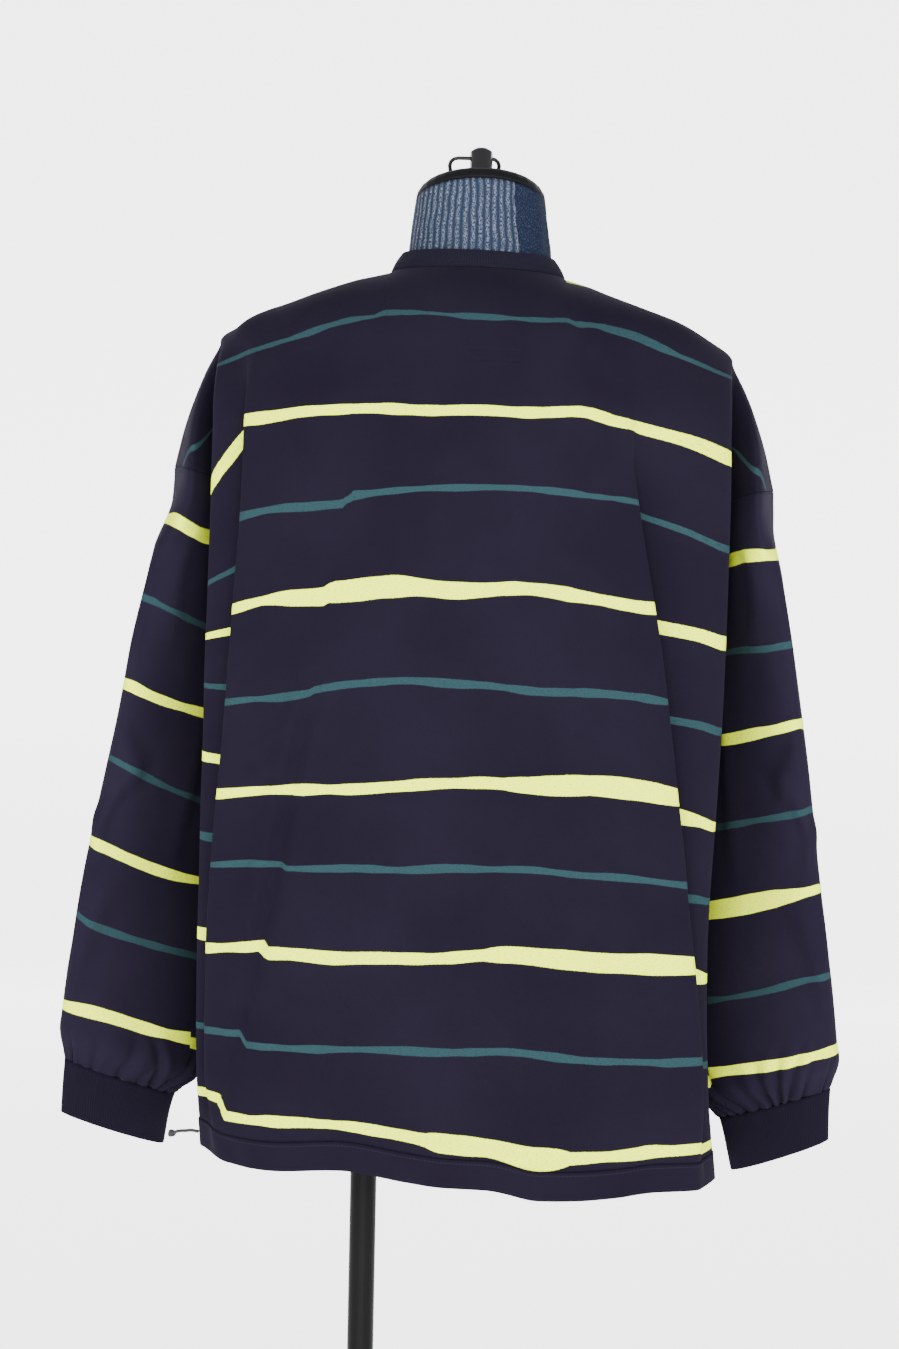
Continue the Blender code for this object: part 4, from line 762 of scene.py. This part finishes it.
def make_panel(front, creases, seed, jersey):
    """The back or the front, creased, with its cloth coordinates."""
    grid, nominal = panel_grid(front)
    facing = np.zeros_like(grid)
    facing[..., 1] = 1 if front else -1
    normals = normals_of(grid, facing)
    level = panel_levels(grid, nominal, front)
    width = along(grid, 1)
    middle = sum(COUNTS[:len(LEFT_LINES)])
    across = width[-60, :] - width[-60, middle]
    first = np.repeat(across[None], len(grid), 0) * 0.001
    main = np.clip((1.60 - PLACES) / 0.12, 0, 1)[None] * np.ones((len(grid), 1))
    row = np.arange(len(grid))[:, None]
    edge = np.minimum(row / 6, 1) * np.minimum((len(grid) - 1 - row) / 5, 1)    # fades out at the seams
    moved = add_creases(grid, normals, creases, main * edge)
    drape = (swell(grid[..., 0], grid[..., 2] * 0.45, seed, 34.0, 1.5)
             + swell(grid[..., 0], grid[..., 2], seed + 3, 17.0, 0.5))
    moved = moved + normals * (drape * edge * np.clip((1.9 - PLACES) / 0.2, 0.25, 1))[..., None]
    if not front:
        recess = past_tuck(grid, nominal, 1.6) * read(TUCK, "recess", nominal)
        moved[..., 1] += recess * np.clip((1.78 - PLACES) / 0.12, 0, 1) * edge
    name, way = ("front_panel", 1) if front else ("back_panel", -1)
    mesh = panel_mesh(name, moved, first, stripe_level(level, BODY_STRIPES), UPPER_ROWS + ARMHOLE_ROWS)
    return cloth_piece(name, mesh, lambda spot: Vector((0, way, 0)), CLOTH, jersey)


# Thicker lengths of some yellow stripes: the stripe's count, and the length's middle and reach.
SWELLS = ((7.0, 0.13, 0.10), (5.0, 0.13, 0.115), (3.0, 0.03, 0.06))
# The stitches under the neck: their rectangle's middle and half size, across and up the cloth.
MARK = ((0.015, 0.026), (0.8953, 0.0045))
back_jersey = striped_jersey("striped jersey back", 3.0, 1.0, SWELLS, MARK)
back_panel = make_panel(False, BACK_CREASES, 1.7, back_jersey)
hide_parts("back")


# The front: the same cloth, cut with a deeper neckline. The photograph doesn't show it, so it
# hangs in the same kind of folds, without a print or a pocket.
FRONT_CREASES = (
    (-60, 1330, -150, 1250, 14, 16, 2.6, 0.3),
    (56, 1326, 150, 1240, -14, 16, 2.6, 0.3),
    (-100, 1230, -150, 900, 8, 12, 3.0, 0.4),
    (104, 1190, 158, 830, -8, 9, 3.6, 0.5),
    (-30, 1200, -64, 880, 10, 22, 2.4, 0.2),
    (40, 1140, 58, 800, -8, 22, 2.4, 0.2),
    (-120, 980, -168, 740, -4, 8, 3.0, 0.5),
    (-70, 900, -84, 702, 4, 14, 2.2, 0.3),
    (20, 900, 30, 704, -4, 18, 2.0, 0.3),
    (110, 860, 124, 702, -3, 9, 2.2, 0.5),
    (-150, 790, -158, 702, -2, 5, 1.8, 0.5),
    (-30, 760, -34, 702, 1, 5, 1.4, 0.5),
    (66, 756, 70, 702, 1, 4, 1.4, 0.5),
    (150, 760, 156, 702, 1, 5, 1.6, 0.5),
)
front_jersey = striped_jersey("striped jersey front", 11.0)
front_panel = make_panel(True, FRONT_CREASES, 4.1, front_jersey)
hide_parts("front")


# The neck rib: a doubled band of navy rib knit sewn to the neckline. It stands up round the neck,
# with a rounded top edge, and a line of twin stitching holds its seam down.
RIB, RIB_WALL = 19.0, 2.4
RIB_RISE, RIB_SEAM = math.radians(60.0), math.radians(39.0)


def ribbed_knit(name, pitch, stitch_line=None, valley=(0.0052, 0.0041, 0.0085), painted_light_crest=(0.0074, 0.0060, 0.0118)):
    """Navy rib knit: upright ridges on the cloth's own coordinates, pressed in along a line of stitches, with painted
    shade in the ridges' valleys and painted light on their crests.
    """
    made, tree, shader = finish(name, (0.021, 0.018, 0.037), 0.9)
    _, across, level = cloth_place(tree)
    ridge = ripples(tree, across, pitch)
    loops = ripples(tree, level, 0.0012)
    relief = maths(tree, "MULTIPLY_ADD", loops, 0.25, ridge)
    if stitch_line:
        away = apart(tree, level, stitch_line)
        relief = maths(tree, "MULTIPLY_ADD", ramp(tree, away, 0.0012, 0.0004), -3.0, relief)
    # the ridges' valleys get a darker navy as painted shade, and their crests a lighter one as painted light
    tree.links.new(blend(tree, ramp(tree, ridge, -1.0, 1.0), valley, painted_light_crest), shader.inputs["Base Color"])
    emboss(tree, shader, relief, 0.3, 0.0004)
    dry_face(shader)
    return made


def folded_band(name, middle, normals, half, material, allowance=0.0):
    """A closed band of cloth doubled over its last row: out side, rounded edge and inner side, whose
    seam allowance stands up behind the cloth above it."""
    down = unit(middle[-1] - middle[-2])
    length = along(middle, 0) * 0.001
    rows, levels = list(middle + normals * half), list(length)
    for angle in np.linspace(math.pi / 2, -math.pi / 2, 9)[1:]:
        rows.append(middle[-1] + (normals[-1] * math.sin(angle) + down * math.cos(angle)) * half)
        levels.append(length[-1])
    rows += list((middle - normals * half)[-2::-1])
    levels += list(length[-2::-1])
    if allowance:
        up = unit(middle[0] - middle[1])
        for inward, rise in ((half, allowance), (half * 0.7, allowance), (half * 0.7, 0.0)):
            rows.append(middle[0] - normals[0] * inward + up * rise)
            levels.append(length[0] - rise * 0.001)
    grid, levels = np.array(rows + rows[:1]), np.array(levels + levels[:1])
    grid = np.concatenate([grid, grid[:, :1]], axis=1)
    turn = along(np.concatenate([middle[:1], middle[:1, :1]], axis=1), 1) * 0.001
    second = np.concatenate([levels, levels[:, :1]], axis=1)
    mesh = panel_mesh(name, grid, np.repeat(turn, len(grid), 0), second, joined=True)
    mesh.materials.append(material)
    band = placed(name, mesh)
    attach(band, BODY)
    return band


steps = np.arange(36) / 36
neck_ring = ([(1 - t, False, -1) for t in steps] + [(t, False, 1) for t in steps]
             + [(1 - t, True, 1) for t in steps] + [(t, True, -1) for t in steps])
foot, rise = [], []
for place, front, side in neck_ring:
    point = top_edge(place, front, side)
    radial = unit((point - world(0, NECK_SEAT, 0, side)) * np.array([1, 1, 0]))
    foot.append(point + (np.array([0, 0, math.sin(RIB_SEAM)]) - radial * math.cos(RIB_SEAM)) * SEAM / 2)
    rise.append(np.array([0, 0, math.sin(RIB_RISE)]) - radial * math.cos(RIB_RISE))
foot, rise = np.array(foot), np.array(rise)
turn = np.linspace(0, 2 * math.pi, len(foot), endpoint=False)
reach = RIB - RIB_WALL / 2
middle = np.array([foot + rise * (reach * t + 0.5 * t * np.sin(2 * turn + 1.0))[:, None]
                   for t in np.linspace(0, 1, 9)])
normals = normals_of(middle, middle - middle.mean(axis=(0, 1)), closed=True)
middle = middle + normals * (0.8 * np.sin(np.linspace(0, math.pi, 9)))[:, None, None]
# the two colours are the rib's painted shade in its valleys and painted light on its crests
neck_rib = ribbed_knit("navy rib knit neck", 0.0024, 0.0045, (0.0070, 0.0060, 0.0116), (0.0098, 0.0086, 0.0158))
neck_band = folded_band("neck_band", middle, normals, RIB_WALL / 2, neck_rib)
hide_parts("collar_rib")


# The sleeves: the same striped jersey, its navy painted lighter to stand in for light their inward-turned sides miss,
# set in low on the dropped shoulders, wide at the top and gathered into the cuffs. Their stripes run down towards the
# body, as the sleeves hang outward.
SLEEVE_LEFT = table("height out forward long thin turn tilt",
                    (1265, 239, 0, 86, 24, 0, 0.28), (1200, 244, 2, 86, 26, 10, 0.32),
                    (1120, 252.5, 6, 82, 24, 21, 0.36), (1030, 263.5, 10, 77, 24, 28.5, 0.38),
                    (940, 276, 14, 73, 24, 37, 0.38), (860, 286, 16, 69, 24, 48, 0.37),
                    (800, 291, 17, 66, 28, 57, 0.35), (768, 293, 17, 62, 30, 62, 0.34),
                    (742, 302, 17, 50, 19, 64, 0.34), (696, 307.5, 17, 46.5, 17.5, 64, 0.34))
SLEEVE_RIGHT = table("height out forward long thin turn tilt",
                     (1265, 239, 0, 86, 24, 0, 0.28), (1200, 240, 2, 86, 23, 8, 0.30),
                     (1120, 245.5, 6, 82, 23, 17, 0.30), (1030, 250.5, 10, 77, 23, 28, 0.30),
                     (940, 256, 14, 73, 24, 37, 0.30), (860, 262, 16, 69, 24, 48, 0.31),
                     (800, 266.5, 17, 66, 28, 57, 0.32), (768, 269, 17, 62, 30, 62, 0.34),
                     (742, 275, 17, 50, 19, 64, 0.37), (696, 280.5, 17, 43.5, 17, 64, 0.43))
SLEEVE_BLEND = 70.0
CUFF_TOP = 742.0
SLEEVE_COLUMNS, SLEEVE_LEVELS = 240, 140
LEFT_STRIPES = (712, 790, 866, 932, 1003, 1072, 1144, 1221, 1310)
RIGHT_STRIPES = (705, 777, 846, 919, 991, 1065, 1139, 1218, 1295)
HIDDEN_TUCKS = ((280, 4, 3.4, 40, 0), (302, 3, 4.0, 52, -0.6), (325, 4, 5.0, 58, 0.5), (348, 4, 4.4, 40, 0.4),
                (10, 3, 5.0, 54, -0.5), (33, 4, 4.2, 60, 0.3), (52, 3, 4.6, 44, -0.3), (68, 3, 3.2, 34, 0.2))
TUCKS = {-1: ((84, 2.5, 2.4, 26, 0.2), (112, 2.5, 3.4, 34, -0.3), (140, 3, 3.6, 40, 0.3), (169, 3, 5.0, 62, 0.4),
              (190, 2.2, 4.0, 30, 0.3), (207, 2.3, 8.5, 54, -1.7), (213, 2.3, 8.5, 56, 1.9), (229, 2.5, 6.5, 60, 1.4),
              (243, 2.4, 5.0, 44, 2.2), (259, 3, 4.0, 40, 0.5)) + HIDDEN_TUCKS,
         1: ((86, 2.5, 2.4, 26, 0.2), (110, 2.4, 3.0, 36, -0.8), (141, 2.2, 4.5, 50, -1.4), (157, 2.2, 6.0, 56, -1.4),
             (165, 2.2, 8.5, 52, -0.5), (173, 2.2, 8.0, 46, 0.5), (187, 2.4, 5.0, 40, 1.2), (203, 2.4, 7.5, 64, 2.4),
             (213, 2.4, 7.0, 66, 3.0), (230, 2.6, 4.5, 44, 1.5), (250, 3, 4.0, 44, 0.8)) + HIDDEN_TUCKS}
STRIPE_LEAN = table("height left right", (1265, 0.18, 0), (1235, 0.18, 0), (1150, 0.06, 0), (1080, 0, 0), (742, 0, 0))
SLEEVE_CREASES = (
    (60, 1240, 88, 1080, 6, 13, 2.6, 0.4),
    (120, 1236, 150, 1120, -8, 12, 3.0, 0.4),
    (86, 1060, 140, 990, 10, 11, 2.6, 0.5),
    (150, 1040, 96, 960, -8, 10, 2.6, 0.5),
    (60, 990, 120, 930, 8, 12, 2.2, 0.4),
    (40, 950, 60, 800, 4, 14, 2.6, 0.3),
    (140, 930, 110, 800, -8, 13, 2.6, 0.4),
    (250, 1230, 276, 1080, 6, 13, 2.8, 0.4),
    (290, 1060, 236, 990, 8, 11, 2.8, 0.5),
    (230, 1020, 290, 950, -8, 11, 2.6, 0.5),
    (316, 1180, 330, 1000, 4, 14, 2.4, 0.3),
    (260, 940, 300, 810, 6, 13, 2.8, 0.4),
    (320, 900, 338, 800, 4, 12, 2.2, 0.4),
    (190, 1180, 184, 900, 4, 10, 2.6, 0.5),
)


def armhole_ring(side):
    """The armhole seam's points, from the shoulder seam by the back to the underarm and by the front."""
    back = level_section(False, [ARMHOLE_LEVEL])[:, 0]
    front = level_section(True, [ARMHOLE_LEVEL])[:, 0]
    if side > 0:
        back, front = back[::-1], front[::-1]
    clear = np.interp(DROPPED_FACETS - np.arange(DROPPED_FACETS + 1), (0, 3, 6, 10), (3.0, 2.0, 0.8, 0.0)) * side
    back, front = back[:DROPPED_FACETS + 1].copy(), front[:DROPPED_FACETS + 1].copy()
    back[:, 0] += clear
    front[:, 0] += clear
    ring = np.vstack([back, front[1:][::-1]])
    ring[0, 1] = 0.0
    return ring


def sleeve_section(side, height, turns):
    """A sleeve's own section at a nominal height, at angles that start on its outer side."""
    tab = SLEEVE_LEFT if side < 0 else SLEEVE_RIGHT
    out, forward, long, thin, turn, tilt = (read(tab, column, height) for column in list(tab)[1:])
    turn = math.radians(turn)
    outward = thin * np.cos(turns) * math.cos(turn) + long * np.sin(turns) * math.sin(turn)
    backward = long * np.sin(turns) * math.cos(turn) - thin * np.cos(turns) * math.sin(turn)
    return world(out + outward, backward - forward, height + tilt * outward, side)


def make_sleeve(side, stripes, seed, jersey):
    """One sleeve, from the armhole to its gathers at the cuff, opening along the underarm."""
    ring = armhole_ring(side)
    closed = np.vstack([ring, ring[:1]])
    far = np.concatenate([[0], np.cumsum(np.linalg.norm(np.diff(closed, axis=0), axis=1))])
    turns = 1.25 * math.pi + 2 * math.pi * np.arange(SLEEVE_COLUMNS) / SLEEVE_COLUMNS
    share = (turns / (2 * math.pi)) % 1.0
    seam = np.stack([np.interp(share, far / far[-1], closed[:, i]) for i in range(3)], axis=-1)
    heights = np.linspace(ARMHOLE_LEVEL, CUFF_TOP, SLEEVE_LEVELS + 1)
    rows = []
    for height in heights:
        t = min((ARMHOLE_LEVEL - height) / SLEEVE_BLEND, 1.0)
        blend_in = t * t * (3 - 2 * t)
        hanging = seam - np.array([0, 0, ARMHOLE_LEVEL - height])
        rows.append(hanging * (1 - blend_in) + sleeve_section(side, height, turns) * blend_in)
    rows[0] = seam - np.array([0, 0, SEAM])
    grid = np.array(rows)
    normals = normals_of(grid, grid - grid.mean(axis=1, keepdims=True), closed=True)
    column_turn = turns % (2 * math.pi)
    unrolled = np.repeat((column_turn * 60)[None], len(grid), 0)
    above = heights - CUFF_TOP
    edge = np.minimum(np.arange(len(grid)) / 5, 1)[:, None]
    foot = np.clip(above / 60, 0, 1)[:, None]
    moved = add_creases(grid, normals, SLEEVE_CREASES, edge * foot, unrolled)
    soft = swell(unrolled, grid[..., 2], seed, 26.0, 1.3)
    for turn, width, depth, length, slant in TUCKS[side]:
        gap = (np.degrees(column_turn) - turn + 180) % 360 - 180
        sway = gap[None] - above[:, None] / 3.4 * slant
        narrow = width * (1 + above[:, None] / 34)
        fading = np.clip(1 - above[:, None] / length, 0, 1)
        soft = soft - depth * np.exp(-(sway / narrow) ** 2) * fading ** 1.1
        soft = soft + 0.6 * depth * np.exp(-((sway - 2.0 * narrow) / (1.4 * narrow)) ** 2) * fading
    fullness = 3.0 * np.exp(-((above - 22) / 16) ** 2)[:, None]
    moved = moved + normals * ((soft + fullness) * edge * np.minimum(above / 6 + 0.5, 1)[:, None])[..., None]
    grid = np.concatenate([moved, moved[:, :1]], axis=1)
    first = np.repeat((np.arange(SLEEVE_COLUMNS + 1) / SLEEVE_COLUMNS * 0.39 + seed)[None], len(grid), 0)
    lean = read(STRIPE_LEAN, "left" if side < 0 else "right", heights)[:, None]
    beside = grid[..., 0] - grid[..., 0].mean(axis=1, keepdims=True)
    second = stripe_level(heights[:, None] + lean * beside, stripes, 4)
    name = "left_sleeve" if side < 0 else "right_sleeve"
    mesh = panel_mesh(name, grid, first, second, joined=True)
    axis = np.array([grid[..., i].mean() for i in range(2)]) * 0.001
    return cloth_piece(name, mesh, lambda spot: Vector((spot.x - axis[0], spot.y - axis[1], 0)), CLOTH, jersey)


# the sleeves' navy is 1.32 times lighter than the body's, as painted light for their shaded sides
sleeve_jersey = striped_jersey("striped jersey sleeves with painted light", 27.0, 1.32)
left_sleeve = make_sleeve(-1, LEFT_STRIPES, 2.3, sleeve_jersey)
right_sleeve = make_sleeve(1, RIGHT_STRIPES, 5.1, sleeve_jersey)
for sleeve, solid_name in ((left_sleeve, "sleeve_left"), (right_sleeve, "sleeve_right")):
    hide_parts(solid_name)


# The cuffs: bands of navy rib knit, doubled and sewn into rings. They are narrower than the
# sleeves, which are gathered to their top edge.
CUFF_LEVELS = (742.0, 738.0, 732.0, 725.0, 716.0, 707.0, 700.0, 697.0)
CUFF_WALL = 2.4
cuff_knit = ribbed_knit("navy rib knit cuffs", 0.0022)
for side, solid_name in ((-1, "cuff_left"), (1, "cuff_right")):
    turns = 1.25 * math.pi + 2 * math.pi * np.arange(120) / 120
    middle = np.array([sleeve_section(side, height, turns) for height in CUFF_LEVELS])
    middle[0, :, 2] -= SEAM
    normals = normals_of(middle, middle - middle.mean(axis=(0, 1)), closed=True)
    pucker = np.array([1.0, 0.8, 0.45, 0.2, 0.1, 0.15, 0.25, 0.3])[:, None]
    wave = 0.5 * np.sin(turns * 13 + side) + 0.4 * np.sin(turns * 5 + 2 * side)
    middle = middle + normals * (pucker * wave)[..., None]
    cuff = folded_band("left_cuff" if side < 0 else "right_cuff", middle, normals, CUFF_WALL / 2, cuff_knit)
    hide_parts(solid_name)


# The hem: the body's bottom edge turned up and stitched into a casing for the drawcord, which
# draws it in a little, so that it puckers. It is the same jersey, below the last stripe.
HEM_LEVELS = (709.0, 706.5, 702.0, 697.0, 692.0, 688.0, 686.2)
HEM_WALL = 3.0
SEAM_ALLOWANCE = 2.2                    # stands up behind the panels
STITCH_LINE, STITCH_LENGTH = 0.0032, 0.0032
bands = []
for front in (False, True):
    bands.append(level_section(front, HEM_LEVELS)[DROPPED_FACETS:-DROPPED_FACETS].swapaxes(0, 1))
    bands[-1][:, 0, 1] = bands[-1][:, -1, 1] = 0.0
middle = np.concatenate([bands[0], bands[1][:, ::-1][:, 1:-1]], axis=1)
normals = normals_of(middle, middle - middle.mean(axis=(0, 1)), closed=True)
normals[..., 2] = 0
normals = unit(normals)
round_hem = along(middle[:1], 1)[0]
pucker = (1.3 * np.sin(round_hem / 5.6) * np.sin(round_hem / 37 + 0.8) ** 2 + 0.7 * np.sin(round_hem / 9.1 + 1.3)
          * np.sin(round_hem / 61) ** 2)
middle = middle + normals * (np.array([0.0, 0.4, 1.0, 0.9, 0.8, 0.6, 0.5])[:, None] * pucker)[..., None]
plain_jersey, tree, shader = finish("plain navy jersey", (0.022, 0.018, 0.038), 0.88)
cut, across, level = cloth_place(tree)
navy = blend(tree, clouds(tree, cut), (0.0065, 0.0049, 0.0107), (0.0081, 0.0063, 0.0129))
away = apart(tree, level, STITCH_LINE)
dashes = maths(tree, "GREATER_THAN", ripples(tree, across, STITCH_LENGTH), -0.4)
stitch = maths(tree, "MULTIPLY", maths(tree, "LESS_THAN", away, 0.0004), dashes)
tree.links.new(blend(tree, stitch, navy, (0.013, 0.011, 0.021)), shader.inputs["Base Color"])
emboss(tree, shader, maths(tree, "MULTIPLY_ADD", stitch, 0.7, ramp(tree, away, 0.0002, 0.0018)), 0.35, 0.0004)
dry_face(shader)
hem = folded_band("hem", middle, normals, HEM_WALL / 2, plain_jersey, allowance=SEAM_ALLOWANCE)
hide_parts("hem_casing")


# The drawcord's end: a short black braided cord that comes out of the casing at the wearer's
# left side, droops round the corner and ends in its knot.
CORD_RADIUS, CORD_HEIGHT, CORD_BACK, CORD_CLEAR, KNOT_RADIUS = 1.4, 697.0, 72.0, 0.8, 3.6
CORD_WAY = ((-6, 3, 0.5), (-12, 10, -1.0), (-18, 18, -2.5), (-23, 26, -5))
cord_finish, tree, shader = finish("black braided cord", (0.010, 0.010, 0.011), 0.75)
place = node(tree, "TexCoord").outputs["Object"]
braid = node(tree, "TexWave", {"Vector": place, "Scale": 260.0, "Distortion": 2.0}, bands_direction="DIAGONAL")
emboss(tree, shader, braid.outputs["Fac"], 0.6, 0.0004)
ring = level_section(False, [CORD_HEIGHT])[DROPPED_FACETS:, 0]
root = min(ring, key=lambda point: abs(point[1] + CORD_BACK) + abs(point[0] - ring[0][0]))
start = root - np.array([HEM_WALL / 2 + CORD_CLEAR, 0, 0])
spots = [[start]] + [[start + offset] for offset in CORD_WAY]
way = spline(np.array(spots), (4,) * len(CORD_WAY))[:, 0]
curve = bpy.data.curves.new("hem_cord", "CURVE")
curve.dimensions = "3D"
curve.bevel_depth = CORD_RADIUS * 0.001
curve.bevel_resolution = 4
curve.use_fill_caps = True
run = curve.splines.new("POLY")
run.points.add(len(way) - 1)
for point, spot in zip(run.points, way * 0.001):
    point.co = (*spot, 1)
curve.materials.append(cord_finish)
hem_cord = placed("hem_cord", curve)
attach(hem_cord, BODY)
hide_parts("drawcord")

bm = bmesh.new()
bmesh.ops.create_uvsphere(bm, u_segments=28, v_segments=18, radius=1.0)
ahead = unit(way[-1] - way[-2])
centre = way[-1] + ahead * (KNOT_RADIUS + SEAM)
lean = Vector(ahead).to_track_quat("X", "Z")
for vert in bm.verts:
    along_cord, side_way, up_way = vert.co
    turn = math.atan2(up_way, side_way)
    lobe = 1 + 0.10 * math.cos(2 * turn + 3.4 * along_cord) - 0.07 * math.cos(3 * turn - 2.0 * along_cord)
    vert.co = lean @ Vector((along_cord, side_way * lobe * 0.95, up_way * lobe * 0.95)) * KNOT_RADIUS
    vert.co = (vert.co + Vector(centre)) * 0.001
mesh = mesh_from("cord_knot", bm)
mesh.materials.append(cord_finish)
cord_knot = placed("cord_knot", mesh)
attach(cord_knot, BODY)
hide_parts("drawcord_knot")


# The studio: a wide pale floor that curves up into a far pale wall, plain and soft. Both glow a
# little, like a lit paper backdrop, but less round the stand's foot, where the fading glow is painted shade on the
# floor besides the lamps' own shadow.
REACH, FLOOR_END, WALL_TOP = 9.0, 8.0, 8.0
bm = bmesh.new()
profile = [(-REACH, 0.0), (FLOOR_END, 0.0)]
profile += [(FLOOR_END + math.sin(a), 1.0 - math.cos(a)) for a in np.linspace(0.1, math.pi / 2, 14)]
profile.append((FLOOR_END + 1.0, WALL_TOP))
line = [bm.verts.new((-REACH, y, z)) for y, z in profile]
edges = [bm.edges.new(pair) for pair in zip(line, line[1:])]
swept = bmesh.ops.extrude_edge_only(bm, edges=edges)
bmesh.ops.translate(bm, vec=(2 * REACH, 0, 0), verts=[v for v in swept["geom"] if isinstance(v, bmesh.types.BMVert)])
bmesh.ops.recalc_face_normals(bm, faces=bm.faces)
if sum(face.normal.y for face in bm.faces) > 0:
    bmesh.ops.reverse_faces(bm, faces=bm.faces)
mesh = mesh_from("backdrop", bm)
backdrop = placed("backdrop", mesh)
pale, tree, shader = finish("pale backdrop", (0.88, 0.88, 0.885), 0.95)
shader.inputs["Emission Color"].default_value = (1, 1, 1, 1)
far = node(tree, "VectorMath", {0: node(tree, "TexCoord").outputs["Object"]}, operation="LENGTH").outputs["Value"]
# the glow fades near the stand, so the floor there is darker: painted shade round its foot
glow_with_painted_shade = node(tree, "MapRange", {"Value": far, "From Min": 0.35, "From Max": 1.6, "To Min": 0.3, "To Max": 2.6},
            interpolation_type="SMOOTHSTEP").outputs[0]
tree.links.new(glow_with_painted_shade, shader.inputs["Emission Strength"])
mesh.materials.append(pale)

sky = bpy.data.worlds.new("soft room light")
sky.use_nodes = True
room = sky.node_tree.nodes["Background"]
room.inputs[0].default_value = (0.97, 0.985, 1.0, 1)
room.inputs[1].default_value = 0.82
bpy.context.scene.world = sky
LAMPS = (("front", (0.1, -4.8, 1.7), (0.08, 0.0, 1.05), 3.0, 370.0, (1.0, 0.995, 0.99)),
         ("window", (-2.8, -2.6, 2.3), (0.0, 0.0, 1.05), 2.0, 46.0, (1.0, 1.0, 1.0)),
         ("fill", (2.9, -2.7, 1.9), (0.1, 0.0, 1.05), 2.0, 40.0, (1.0, 0.99, 0.98)))
for lamp_name, spot, target, size, power, colour in LAMPS:
    lamp = bpy.data.lights.new(lamp_name, "AREA")
    lamp.shape = "SQUARE"
    lamp.size = size
    lamp.energy = power
    lamp.color = colour
    holder = placed(lamp_name, lamp)
    holder.location = spot
    holder.rotation_mode = "QUATERNION"
    holder.rotation_quaternion = (Vector(target) - Vector(spot)).to_track_quat("-Z", "Y")

lens = bpy.data.cameras.new("camera")
lens.lens = 85.0
lens.sensor_width = 36.0
camera = placed("camera", lens)
camera.location = (0.0668, -2.79, 1.107)
camera.rotation_euler = (math.pi / 2, math.radians(-1.12), 0)
bpy.context.scene.camera = camera
